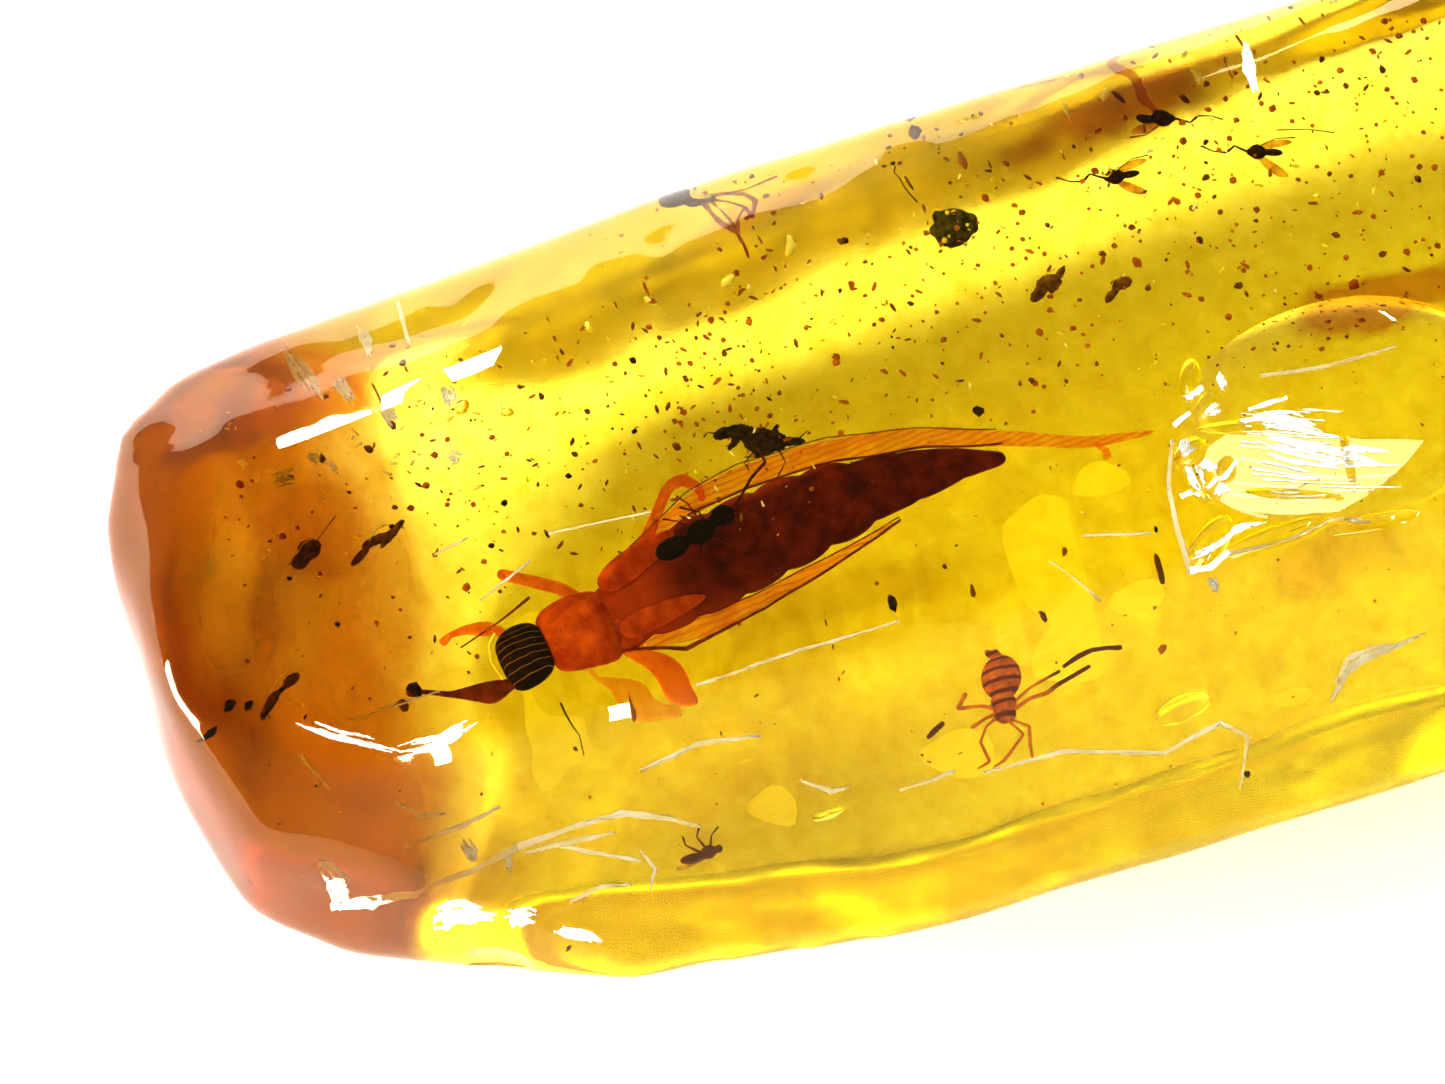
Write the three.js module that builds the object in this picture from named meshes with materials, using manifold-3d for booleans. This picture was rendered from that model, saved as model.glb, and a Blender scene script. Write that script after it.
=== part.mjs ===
// A polished piece of copal, young tree resin, with the insects that it trapped.
// Millimetres, +Z up. The origin is the middle of the flat base; +X runs along the piece,
// from the narrow end at -X, and +Y to its back.
//
// The resin set in two flows. They meet in one level face, FLOW_HEIGHT above the base, and the
// insects and crumbs lie in that face, each in a pocket that both flows share.
import * as THREE from 'three';
import { ConvexGeometry } from 'three/addons/geometries/ConvexGeometry.js';
import { mergeVertices } from 'three/addons/utils/BufferGeometryUtils.js';
import Module from 'manifold-3d';

const wasm = await Module();
wasm.setup();

// ---- driving dimensions ------------------------------------------------------------------
const HALF_LENGTH = 30; // middle to either end
const HALF_WIDTH = 12.8; // middle to the front or back edge
const THICKNESS = 13.5; // base to the top face
const HALF_THICKNESS = THICKNESS / 2;
const FLOW_HEIGHT = 7.2; // the face where the two flows of resin meet
const POLISH = 40; // how tightly the ground facets run into each other; higher is sharper
const BASE_GRIND = 0.13; // ground off the base, so that it is flat right across
const CLEARANCE = 0.3; // from an inclusion to the wall of its pocket
const AROUND = 34; // facets of the mesh round the piece
const ALONG = 25; // and from end to end
const LEG_SIDES = 4; // flats round a leg
const POCKET_SIDES = 6; // most flats round a stretch of a pocket
const HOLLOW_SIDES = 12; // and round a low hollow

const BEETLE = { x: -16.4, y: -1.55, turn: 6.7 }; // where its thorax meets its abdomen
const ANT = { x: -12.8, y: -0.6, z: 9.2 };
const SPIDER = { x: -5.25, y: -7.3, z: FLOW_HEIGHT };
const MIDGE = { x: -15.55, y: -9.3, z: 6.9 };
const FLY = { x: -9.35, y: 10.5, z: FLOW_HEIGHT };
const GNATS = [
  { x: 5.9, y: 9.6, turn: -14 },
  { x: 3.9, y: 8.1, turn: 168 },
  { x: 8.6, y: 7.5, turn: 158 },
];

const COPAL = new THREE.MeshStandardMaterial({ color: 0xe8b021, roughness: 0.05, metalness: 0 });
const CHITIN_RED = new THREE.MeshStandardMaterial({ color: 0x7a1d08, roughness: 0.4, metalness: 0 });
const CHITIN_BLACK = new THREE.MeshStandardMaterial({ color: 0x1a0d06, roughness: 0.4, metalness: 0 });
const CHITIN_AMBER = new THREE.MeshStandardMaterial({ color: 0x8f3a0a, roughness: 0.4, metalness: 0 });
const CHARRED_WOOD = new THREE.MeshStandardMaterial({ color: 0x24160a, roughness: 0.9, metalness: 0 });

// ---- solids ------------------------------------------------------------------------------
function solidOf(geometry) {
  const bare = geometry.clone();
  bare.deleteAttribute('normal');
  bare.deleteAttribute('uv');
  const closed = mergeVertices(bare, 1e-5);
  const mesh = new wasm.Mesh({
    numProp: 3,
    vertProperties: new Float32Array(closed.attributes.position.array),
    triVerts: new Uint32Array(closed.index.array),
  });
  return new wasm.Manifold(mesh);
}

function geometryOf(solid) {
  const mesh = solid.getMesh();
  const geometry = new THREE.BufferGeometry();
  geometry.setAttribute('position', new THREE.BufferAttribute(mesh.vertProperties, 3));
  geometry.setIndex(new THREE.BufferAttribute(mesh.triVerts, 1));
  return geometry;
}

function joined(solids) {
  return solids.reduce((whole, next) => whole.add(next));
}

// Every form below is a function of how far it is grown: by nothing for the insect itself, and
// by the clearance for its pocket, which is plainer and whose flats, not edges, keep clear.

// An egg-shaped bead: an abdomen, a head, an eye.
function bead([x, y, z], [rx, ry, rz], sides = 7) {
  return (grow) => {
    const around = grow ? Math.min(sides, POCKET_SIDES) : sides;
    const along = Math.max(4, around - 3);
    const flats = Math.cos(Math.PI / around) * Math.cos(Math.PI / (2 * along));
    const ball = new THREE.SphereGeometry(grow ? 1 / flats : 1, around, along);
    ball.rotateZ(Math.PI / 2);
    ball.scale(rx + grow, ry + grow, rz + grow);
    return ball.translate(x, y, z);
  };
}

// A low round hollow that takes in a spread of legs or wings.
function hollow([x, y, z], [rx, ry, rz], turn = 0) {
  return (grow) => {
    const disc = new THREE.CylinderGeometry(1, 1, 2, HOLLOW_SIDES);
    disc.rotateX(Math.PI / 2);
    disc.scale(rx + grow, ry + grow, rz + grow);
    disc.rotateZ(THREE.MathUtils.degToRad(turn));
    return disc.translate(x, y, z);
  };
}

// A closed limb through the points of a spine. Its half width and half height change from
// point to point: a leg is as high as it is wide, and a wing or an elytron is thin.
function limb(spine, halfWidths, halfHeights = halfWidths, flats = LEG_SIDES) {
  return (grow) => {
    const points = spine.map((p) => new THREE.Vector3(...p));
    const sides = grow ? Math.min(flats, POCKET_SIDES) : flats;
    const outset = grow ? 1 / Math.cos(Math.PI / sides) : 1;
    const positions = [];
    const index = [];
    points.forEach((point, i) => {
      const before = points[Math.max(i - 1, 0)];
      const after = points[Math.min(i + 1, points.length - 1)];
      const along = after.clone().sub(before).normalize();
      const across = new THREE.Vector3(0, 0, 1).cross(along).normalize();
      const up = along.clone().cross(across);
      const end = i === 0 ? -grow : i === points.length - 1 ? grow : 0;
      for (let k = 0; k < sides; k++) {
        const angle = (2 * Math.PI * (k + 0.5)) / sides;
        const corner = point.clone().addScaledVector(along, end);
        corner.addScaledVector(across, outset * (halfWidths[i] + grow) * Math.cos(angle));
        corner.addScaledVector(up, outset * (halfHeights[i] + grow) * Math.sin(angle));
        positions.push(...corner.toArray());
      }
    });
    for (let i = 0; i + 1 < points.length; i++) {
      for (let k = 0; k < sides; k++) {
        const a = i * sides + k;
        const b = i * sides + ((k + 1) % sides);
        index.push(a, b, b + sides, a, b + sides, a + sides);
      }
    }
    const last = (points.length - 1) * sides;
    for (let k = 1; k + 1 < sides; k++) {
      index.push(0, k + 1, k);
      index.push(last, last + k, last + k + 1);
    }
    const geometry = new THREE.BufferGeometry();
    geometry.setAttribute('position', new THREE.Float32BufferAttribute(positions, 3));
    return geometry.setIndex(index);
  };
}

// A leg that thins from its root to its foot.
function leg(spine, root, foot) {
  const radii = spine.map((_, i) => root + ((foot - root) * i) / (spine.length - 1));
  return limb(spine, radii);
}

// ---- the resin ---------------------------------------------------------------------------
// Each facet was ground flat through one point, facing an azimuth (0 is +X, 90 is +Y) and an
// elevation in degrees.
const MIDDLE = new THREE.Vector3(0, 0, HALF_THICKNESS);

function facet(azimuth, elevation, x, y, z) {
  const a = THREE.MathUtils.degToRad(azimuth);
  const e = THREE.MathUtils.degToRad(elevation);
  const normal = new THREE.Vector3(
    Math.cos(a) * Math.cos(e),
    Math.sin(a) * Math.cos(e),
    Math.sin(e),
  );
  const distance = new THREE.Vector3(x, y, z).sub(MIDDLE).dot(normal);
  return { normal, distance };
}

const FACETS = [
  facet(0, -90, 0, 0, 0), // base
  facet(-95, 87.5, -12, 0, THICKNESS - 0.4), // top
  facet(98, 57, -17, 6.3, THICKNESS - 0.3), // back, upper slope
  facet(95, 10, -16.4, 11.2, 10), // back edge, narrow half
  facet(91, 6, 0, 12.2, 10), // back edge, broad half
  facet(-92, 42, -15, -6.2, THICKNESS - 0.7), // front, upper slope
  facet(-89, 6, -3, -13.25, 6.5), // front edge, broad half
  facet(-112, 8, -20.5, -11.8, 6.5), // front edge, narrow half
  facet(183, 6, -30.5, 1, 9), // narrow end
  facet(200, 8, -29.8, -4.6, 8), // narrow end, front of the middle
  facet(-146, 14, -28.7, -9.1, 7), // narrow end, front corner
  facet(-125, 46, -26.4, -5.4, 12.4), // narrow end, front slope
  facet(165, 45, -29.2, 2, 12.3), // narrow end, top slope
  facet(145, 12, -29.1, 8.8, 10), // narrow end, back corner
  facet(115, 12, -27.2, 10.2, 10), // back corner, rounded further
  facet(0, 8, 30.1, 0, 7), // broad end
  facet(40, 15, 27, 10.5, 6), // broad end, back corner
  facet(-40, 15, 27, -10.5, 6), // broad end, front corner
  facet(0, 45, 27, 0, 12), // broad end, top slope
  facet(163, -47, -19.8, 3, 0.4), // narrow end, under slope
  facet(205, -48, -23.5, -3, 0.6), // narrow end, front of the under slope
  facet(122, -64, -15.5, 4.3, 0), // back, under slope of the narrow half
  facet(96, -60, -8, 6.2, 0), // back, under slope
  facet(70, -82, -2, 2.6, 0), // belly, rising gently to the back
  facet(91, -30, 2, 10.4, 2.8), // back, steep band over the belly
  facet(20, -81, 8.2, -3, 0), // belly, rising gently to the broad end
  facet(-90, -51, 0, -5.9, 0), // front, under slope
  facet(-101, -52, -17, -6, 0), // front, under slope of the narrow half
  facet(0, -40, 28.5, 0, 3), // broad end, under slope
];

// How far the polished surface is from the middle in one direction. Next to one facet alone it
// is that facet's flat; between facets it turns from one to the other in a soft edge.
function reach(direction) {
  let sum = 0;
  for (const { normal, distance } of FACETS) {
    sum += Math.max(0, direction.dot(normal) / distance) ** POLISH;
  }
  return sum ** (-1 / POLISH);
}

function polishedPiece() {
  const proportions = new THREE.Vector3(HALF_LENGTH, HALF_WIDTH, HALF_THICKNESS);
  const skin = [];
  for (let i = 0; i <= ALONG; i++) {
    for (let k = 0; k < AROUND; k++) {
      const direction = new THREE.Vector3().setFromSphericalCoords(
        1,
        (Math.PI * i) / ALONG,
        (2 * Math.PI * (k + (i % 2) / 2)) / AROUND,
      );
      direction.applyAxisAngle(new THREE.Vector3(0, 0, 1), -Math.PI / 2);
      direction.multiply(proportions).normalize();
      skin.push(direction.clone().multiplyScalar(reach(direction)).add(MIDDLE));
    }
  }
  return solidOf(new ConvexGeometry(skin));
}

function slab(low, high) {
  const block = new THREE.BoxGeometry(4 * HALF_LENGTH, 4 * HALF_WIDTH, high - low);
  return solidOf(block.translate(0, 0, (low + high) / 2));
}

// The shell-shaped break in the top face, deepest at its steep rim towards the narrow end.
const CHIP = { x: 6.3, y: -3.9, z: THICKNESS, radii: [6.4, 4.1, 1.6], tip: 8, turn: 6 };

function chipBreak() {
  const shell = new THREE.SphereGeometry(1, 18, 12);
  shell.scale(...CHIP.radii);
  shell.rotateY(-THREE.MathUtils.degToRad(CHIP.tip));
  shell.rotateZ(THREE.MathUtils.degToRad(CHIP.turn));
  return solidOf(shell.translate(CHIP.x, CHIP.y, CHIP.z));
}

// ---- the long beetle ---------------------------------------------------------------------
// A ship-timber beetle: short wing cases, long folded hind wings, a long soft abdomen of rings.
// Local x runs from its head, at -x, to its tail, and local y to its left.
const ABDOMEN_LENGTH = 13.4;
const ABDOMEN_RINGS = 8;

const POCKET_RINGS = 3;
const POCKET_SWELL = 1.06; // the pocket is straight where the abdomen is round

// Middle line, half width and half height of the abdomen at a share t of its length.
function abdomenAt(t) {
  const bulge = Math.sin(Math.PI * Math.min(1, 0.28 + 0.75 * t));
  return {
    y: -0.55 + 1.1 * Math.sin(Math.PI * 0.72 * t),
    halfWidth: 0.3 + 1.35 * bulge * (1 - 0.35 * t),
    halfHeight: 0.25 + 0.85 * bulge * (1 - 0.3 * t),
  };
}

function ringedAbdomen(grow) {
  const spine = [];
  const widths = [];
  const heights = [];
  const rings = grow ? POCKET_RINGS : ABDOMEN_RINGS;
  for (let ring = 0; ring < rings; ring++) {
    for (const [share, swell] of [[0.06, 0.93], [0.8, 1.02]]) {
      const t = (ring + share) / rings;
      const { y, halfWidth, halfHeight } = abdomenAt(t);
      spine.push([ABDOMEN_LENGTH * t, y, 0]);
      widths.push(halfWidth * (grow ? POCKET_SWELL : swell));
      heights.push(halfHeight * (grow ? POCKET_SWELL : swell));
    }
  }
  spine.push([ABDOMEN_LENGTH + 0.2, -0.25, 0]);
  widths.push(0.1);
  heights.push(0.1);
  return limb(spine, widths, heights, 9)(grow);
}

const BEETLE_FORMS = [
  ringedAbdomen,
  bead([-2.8, -0.65, 0], [0.85, 1.0, 0.75], 10), // head
  bead([-2.95, 0.1, 0.2], [0.42, 0.34, 0.42]), // left eye
  bead([-3.05, -1.35, 0.2], [0.42, 0.34, 0.42]), // right eye
  bead([-3.6, -0.7, -0.1], [0.35, 0.45, 0.3], 6), // jaws
  limb([[-2.2, -0.6, 0], [-1.7, -0.55, 0.05], [-0.4, -0.6, 0.05], [0.3, -0.6, 0]],
    [0.75, 1.05, 1.25, 1.1], [0.6, 0.8, 0.9, 0.8], 9), // thorax
  // wing cases, short and parted
  limb([[0, 0.35, 0.55], [1.6, 0.75, 0.85], [3.1, 1.2, 0.75]], [0.5, 0.55, 0.16], [0.16, 0.18, 0.1], 6),
  limb([[0, -1.4, 0.55], [1.6, -1.35, 0.85], [3.0, -1.5, 0.7]], [0.5, 0.5, 0.16], [0.16, 0.18, 0.1], 6),
  // hind wings folded along the sides, the left one reaching past the tail
  limb([[0.6, 0.6, 0.2], [4, 1.6, 0.15], [8.8, 1.5, 0.1], [11.5, 0.95, 0.05], [13.9, 0.1, 0],
    [15.5, -0.75, 0], [17, -1.3, 0], [18.6, -1.6, 0]],
    [0.3, 0.5, 0.42, 0.35, 0.26, 0.2, 0.22, 0.06], [0.14, 0.12, 0.1, 0.1, 0.09, 0.08, 0.1, 0.05], 6),
  limb([[-0.2, -1.2, 0], [1.9, -1.7, 0], [4.7, -1.6, 0], [7.2, -1.3, 0], [9.8, -0.75, 0]],
    [0.25, 0.32, 0.3, 0.24, 0.1], [0.14, 0.12, 0.1, 0.1, 0.06], 6),
  // legs
  leg([[-0.9, 0.2, 0], [-1.6, 1.55, 0.1], [-2.5, 2.2, 0.05]], 0.28, 0.16),
  leg([[1.6, 0.6, 0.1], [2.8, 2.1, 0.15], [3.9, 2.9, 0.1], [4.3, 2.2, 0], [4.1, 1.7, 0]], 0.24, 0.13),
  leg([[-0.3, -1.4, 0], [0.6, -2.1, 0.05], [1.7, -2.5, 0]], 0.3, 0.16),
  leg([[-1.2, -1.2, -0.1], [-0.6, -2.2, -0.1], [0.6, -2.9, -0.1], [1.3, -2.9, -0.1]], 0.2, 0.1),
  // antennae
  leg([[-3.0, 0.1, 0], [-3.3, 0.85, 0], [-4.2, 1.0, 0], [-5.0, 0.9, 0]], 0.17, 0.24),
  leg([[-3.1, -1.3, 0], [-4.3, -1.25, 0], [-5.6, -0.8, 0], [-6.6, -0.3, 0]], 0.14, 0.1),
];

const BEETLE_POCKET = [
  ringedAbdomen,
  bead([-2.9, -0.6, 0], [1.1, 1.2, 0.75], 12),
  limb([[-2.2, -0.6, 0], [-0.4, -0.6, 0.1], [2.6, -0.1, 0.1]], [1.0, 1.35, 1.6], [0.7, 1.2, 1.25], 10),
  // hind wings
  limb([[0.6, 0.7, 0.15], [4, 1.7, 0.1], [8.8, 1.55, 0.1], [11.5, 0.95, 0.05], [15.5, -0.75, 0],
    [18.6, -1.6, 0]], [0.4, 0.5, 0.45, 0.4, 0.25, 0.15], [0.14, 0.1, 0.1, 0.1, 0.1, 0.1]),
  limb([[-0.2, -1.2, 0], [2.4, -1.75, 0], [7.2, -1.35, 0], [9.8, -0.75, 0]], [0.3, 0.4, 0.35, 0.15],
    [0.14, 0.12, 0.1, 0.08]),
  hollow([-3.3, -0.1, 0], [4.0, 1.8, 0.4], 4), // feelers
  hollow([0.1, -2.0, 0], [3.0, 1.5, 0.4]), // right legs
  hollow([-1.8, 1.2, 0], [1.7, 1.6, 0.4]), // left foreleg
  hollow([3.2, 1.9, 0], [2.0, 1.6, 0.4]), // left middle leg
];

// ---- the smaller insects -----------------------------------------------------------------
const ANT_FORMS = [
  bead([-1.0, -0.2, 0], [0.52, 0.42, 0.38]), // gaster
  bead([-0.42, -0.06, 0], [0.2, 0.16, 0.2], 7), // waist
  bead([0.05, 0.02, 0], [0.42, 0.26, 0.26], 8), // thorax
  bead([0.85, 0.3, 0], [0.46, 0.36, 0.32]), // head
  limb([[0.3, 0.1, 0], [0.7, 0.25, 0]], [0.14, 0.14]), // neck
  leg([[0.9, 0.35, 0], [1.35, 0.7, 0.05], [2.05, 1.35, 0.05], [2.6, 1.7, 0]], 0.1, 0.06),
  leg([[0.9, 0.2, 0], [1.45, 0.1, 0], [2.0, 0.3, 0]], 0.1, 0.06),
  leg([[0.1, 0.1, 0], [0.1, 0.75, -0.05], [-0.35, 1.1, 0]], 0.09, 0.06),
  leg([[0, -0.1, 0], [0.35, -0.65, -0.05], [0.15, -1.1, 0]], 0.09, 0.06),
  leg([[-0.15, 0.1, 0], [-0.55, 0.6, -0.05], [-1.0, 0.8, 0]], 0.09, 0.06),
  leg([[-0.1, -0.1, 0], [-0.3, -0.75, -0.05], [-0.8, -1.0, 0]], 0.09, 0.06),
];

const ANT_POCKET = [
  limb([[-1.5, -0.3, 0], [1.3, 0.4, 0]], [0.45, 0.45], [0.4, 0.4], 6),
  hollow([0.4, 0.2, 0], [2.8, 1.8, 0.2], 14),
];

const SPIDER_FORMS = [
  bead([0.33, 1.25, 0], [0.62, 0.92, 0.55], 10), // abdomen
  bead([0.24, 2.2, 0], [0.2, 0.3, 0.2], 7), // spinnerets
  bead([0.05, 0.0, 0], [0.42, 0.5, 0.3]), // head and chest
  leg([[-0.1, 0.15, 0], [-0.55, 0.45, 0.1], [-1.05, 0.7, 0], [-0.5, 1.4, 0]], 0.11, 0.06),
  leg([[-0.1, 0, 0], [-0.6, -0.15, 0.1], [-1.2, -0.3, 0]], 0.11, 0.06),
  leg([[-0.1, -0.1, 0], [-0.65, -0.4, 0.1], [-1.15, -0.9, 0], [-1.25, -1.7, 0], [-1.65, -1.85, 0]],
    0.11, 0.06),
  leg([[0, -0.25, 0], [-0.05, -0.8, 0.1], [0.05, -1.35, 0], [-0.8, -2.05, 0], [-1.2, -2.1, 0]],
    0.11, 0.06),
  leg([[0.1, -0.25, 0], [0.25, -0.7, 0.1], [0.45, -1.2, 0], [0.15, -1.9, 0], [-0.2, -2.7, 0]],
    0.11, 0.06),
  leg([[0.2, -0.1, 0], [0.9, -0.2, 0.1], [1.5, 0.0, 0.1], [1.85, 0.3, 0], [3.1, 0.75, 0]],
    0.12, 0.06),
  leg([[0.3, 0.1, 0], [1.1, 0.55, 0.1], [1.75, 0.85, 0.1], [2.3, 1.15, 0], [3.3, 1.4, 0],
    [4.3, 1.2, 0]], 0.12, 0.06),
];

const SPIDER_POCKET = [
  bead([0.33, 1.35, 0], [0.65, 1.0, 0.55]),
  hollow([-0.1, -0.6, 0], [1.9, 2.4, 0.25]),
  hollow([2.4, 0.6, 0], [2.3, 1.0, 0.25], 14),
];

const MIDGE_FORMS = [
  bead([-0.25, -0.02, 0], [0.5, 0.2, 0.2], 6), // abdomen
  bead([0.3, 0.05, 0.02], [0.27, 0.24, 0.25], 6), // chest
  bead([0.62, 0.08, 0], [0.15, 0.15, 0.15], 5), // head
  limb([[0.2, -0.05, 0.1], [-0.6, -0.25, 0.05], [-1.1, -0.35, 0]], [0.1, 0.2, 0.06],
    [0.06, 0.06, 0.05], 6), // wing
  leg([[0.2, 0.15, 0], [0.0, 0.7, 0.05], [0.2, 1.15, 0]], 0.07, 0.05),
  leg([[0.3, 0.15, 0], [0.45, 0.6, 0.05], [0.75, 0.9, 0]], 0.07, 0.05),
  leg([[0.0, 0.1, 0], [-0.4, 0.5, 0.05], [-0.4, 0.9, 0]], 0.07, 0.05),
];

const MIDGE_POCKET = [hollow([-0.1, 0.25, 0], [1.2, 1.1, 0.25], -10)];

const FLY_FORMS = [
  bead([-0.5, 0.2, 0], [0.62, 0.3, 0.3]), // abdomen
  bead([0.25, -0.05, 0], [0.42, 0.36, 0.36]), // chest
  bead([0.72, -0.2, 0], [0.2, 0.22, 0.2], 6), // head
  leg([[0.3, -0.1, 0], [1.1, -0.25, 0.1], [1.75, -0.6, 0.1], [1.9, -1.2, 0], [1.4, -1.9, 0]], 0.12, 0.06),
  leg([[0.3, -0.2, 0], [0.9, -0.6, 0.1], [1.15, -1.2, 0], [0.85, -2.0, 0]], 0.12, 0.06),
  leg([[0.2, -0.2, 0], [0.45, -0.8, 0.1], [0.5, -1.5, 0], [0.3, -2.1, 0]], 0.1, 0.06),
  leg([[0.4, -0.1, 0], [1.5, -0.15, 0.1], [3.0, 0.05, 0]], 0.1, 0.05),
];

const FLY_POCKET = [
  limb([[-1.1, 0.3, 0], [0.9, -0.2, 0]], [0.3, 0.35], [0.32, 0.38], 6),
  hollow([1.1, -0.7, 0], [2.1, 1.6, 0.2], 0),
];

const GNAT_FORMS = [
  bead([-0.35, 0, 0], [0.45, 0.17, 0.17], 6), // abdomen
  bead([0.12, 0, 0.03], [0.24, 0.22, 0.22], 6), // chest
  bead([0.42, 0, 0], [0.13, 0.13, 0.13], 5), // head
  limb([[0.1, 0.1, 0.08], [-0.4, 0.55, 0.05], [-0.9, 0.75, 0]], [0.08, 0.2, 0.06],
    [0.06, 0.06, 0.05]), // left wing
  limb([[0.1, -0.1, 0.08], [-0.4, -0.45, 0.05], [-1.0, -0.6, 0]], [0.08, 0.2, 0.06],
    [0.06, 0.06, 0.05]), // right wing
  leg([[0.4, 0.03, 0], [1.1, 0.1, 0], [2.0, -0.05, 0]], 0.07, 0.05), // feeler
];

const GNAT_POCKET = [hollow([0.4, 0, 0], [2.0, 1.0, 0.25])];

// ---- crumbs of wood and the seed ---------------------------------------------------------
const CRUMB_FORMS = {
  bark_fleck: {
    x: -10, y: 2.35, z: FLOW_HEIGHT + 0.25, turn: -8,
    form: limb([[-1.5, 0.1, 0], [-0.9, 0.15, 0.05], [0.1, 0.2, 0], [0.9, 0, 0.05], [1.6, 0.1, 0]],
      [0.22, 0.42, 0.5, 0.3, 0.12], [0.1, 0.18, 0.22, 0.15, 0.08], 6),
  },
  seed_pellet: {
    x: -1.75, y: 7.75, z: FLOW_HEIGHT, turn: 20,
    form: bead([0, 0, 0], [0.82, 0.72, 0.6], 10),
  },
  wood_crumb_1: {
    x: 0.5, y: 5.0, z: FLOW_HEIGHT, turn: 22,
    form: limb([[-0.8, 0, 0], [-0.3, 0.08, 0.05], [0.3, 0.05, 0], [0.8, -0.05, 0]],
      [0.12, 0.36, 0.3, 0.1], [0.1, 0.25, 0.2, 0.1], 6),
  },
  wood_crumb_2: {
    x: 2.6, y: 4.2, z: FLOW_HEIGHT, turn: 24,
    form: limb([[-0.7, -0.1, 0], [-0.2, 0, 0.05], [0.3, 0.05, 0], [0.7, 0.2, 0]],
      [0.14, 0.3, 0.26, 0.08], [0.1, 0.22, 0.2, 0.08], 6),
  },
  dark_spindle: {
    x: -26.6, y: -1.35, z: FLOW_HEIGHT, turn: 12,
    form: limb([[-0.85, 0, 0], [-0.4, 0, 0], [0.3, 0.03, 0], [0.85, 0, 0]],
      [0.08, 0.24, 0.2, 0.05], [0.08, 0.22, 0.18, 0.05], 6),
  },
  wood_smear_1: {
    x: -24.7, y: 2.8, z: FLOW_HEIGHT, turn: 20,
    form: limb([[-0.7, 0, 0], [-0.1, 0.05, 0.05], [0.6, -0.05, 0]],
      [0.2, 0.45, 0.15], [0.12, 0.2, 0.1], 6),
  },
  wood_smear_2: {
    x: -22.4, y: 2.6, z: FLOW_HEIGHT, turn: 10,
    form: limb([[-1.2, 0, 0], [-0.5, -0.05, 0.05], [0.4, 0.08, 0], [1.2, 0.05, 0]],
      [0.1, 0.34, 0.4, 0.12], [0.08, 0.18, 0.2, 0.08], 6),
  },
};

// ---- assembly ----------------------------------------------------------------------------
// A pocket's forms are plainer than the inclusion's, and are grown by the clearance.
function inclusion(name, forms, pocketForms, { x, y, z = FLOW_HEIGHT, turn = 0 }, material) {
  const placing = new THREE.Matrix4().makeRotationZ(THREE.MathUtils.degToRad(turn));
  placing.setPosition(x, y, z);
  const made = (list, grow) =>
    joined(list.map((form) => solidOf(form(grow).applyMatrix4(placing))));
  return { name, material, solid: made(forms, 0), pocket: made(pocketForms, CLEARANCE) };
}

const inclusions = [
  inclusion('long_beetle', BEETLE_FORMS, BEETLE_POCKET, BEETLE, CHITIN_RED),
  inclusion('black_ant', ANT_FORMS, ANT_POCKET, ANT, CHITIN_BLACK),
  inclusion('small_spider', SPIDER_FORMS, SPIDER_POCKET, SPIDER, CHITIN_AMBER),
  inclusion('midge', MIDGE_FORMS, MIDGE_POCKET, MIDGE, CHITIN_BLACK),
  inclusion('long_legged_fly', FLY_FORMS, FLY_POCKET, FLY, CHITIN_AMBER),
  ...GNATS.map((place, i) =>
    inclusion(`gnat_${i + 1}`, GNAT_FORMS, GNAT_POCKET, place, CHITIN_BLACK)),
  ...Object.entries(CRUMB_FORMS).map(([name, { form, ...place }]) =>
    inclusion(name, [form], [form], place, CHARRED_WOOD)),
];

const piece = polishedPiece().subtract(chipBreak());
const pockets = joined(inclusions.map(({ pocket }) => pocket));
const upper = piece.intersect(slab(FLOW_HEIGHT, 2 * THICKNESS)).subtract(pockets);
const lower = piece.intersect(slab(BASE_GRIND, FLOW_HEIGHT)).subtract(pockets);

const copal = new THREE.Group();
copal.position.z = -BASE_GRIND;

function addNode(name, solid, material) {
  const mesh = new THREE.Mesh(geometryOf(solid), material);
  mesh.name = name;
  copal.add(mesh);
}

addNode('copal_lower', lower, COPAL);
addNode('copal_upper', upper, COPAL);
for (const { name, solid, material } of inclusions) {
  addNode(name, solid, material);
}

export default copal;
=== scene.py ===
import math
import random

import bmesh
import bpy
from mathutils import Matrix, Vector


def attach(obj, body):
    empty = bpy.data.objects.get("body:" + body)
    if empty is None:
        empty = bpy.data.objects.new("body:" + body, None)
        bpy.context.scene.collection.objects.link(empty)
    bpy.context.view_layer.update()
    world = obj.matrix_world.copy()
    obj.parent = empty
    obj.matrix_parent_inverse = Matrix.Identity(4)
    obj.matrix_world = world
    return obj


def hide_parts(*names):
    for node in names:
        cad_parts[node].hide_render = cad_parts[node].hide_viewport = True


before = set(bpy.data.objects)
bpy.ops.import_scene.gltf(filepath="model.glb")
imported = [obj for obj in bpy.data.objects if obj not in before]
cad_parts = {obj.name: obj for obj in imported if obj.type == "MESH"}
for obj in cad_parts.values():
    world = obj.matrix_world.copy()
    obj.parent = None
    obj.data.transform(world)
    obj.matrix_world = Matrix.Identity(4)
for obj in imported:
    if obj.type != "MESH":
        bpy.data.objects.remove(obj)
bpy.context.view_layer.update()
mm = 0.001


# ---- The table top and the daylight ---------------------------------------------------------
# The piece lies on a white board. Light comes from a low window past its narrow end and a soft
# lamp behind on the right. Two narrow lamps draw its highlights, and the room is bright in front.
def deselect():
    if bpy.context.mode != "OBJECT":
        bpy.ops.object.mode_set(mode="OBJECT")
    bpy.ops.object.select_all(action="DESELECT")


VIEW_AZIMUTH, VIEW_ELEVATION = math.radians(-17), math.radians(65)
VIEW_AIM = Vector((-12.2, -0.95, 10.0)) * mm
VIEW_DISTANCE = 170 * mm
VIEW_WIDTH = 45.16 * mm

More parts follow.
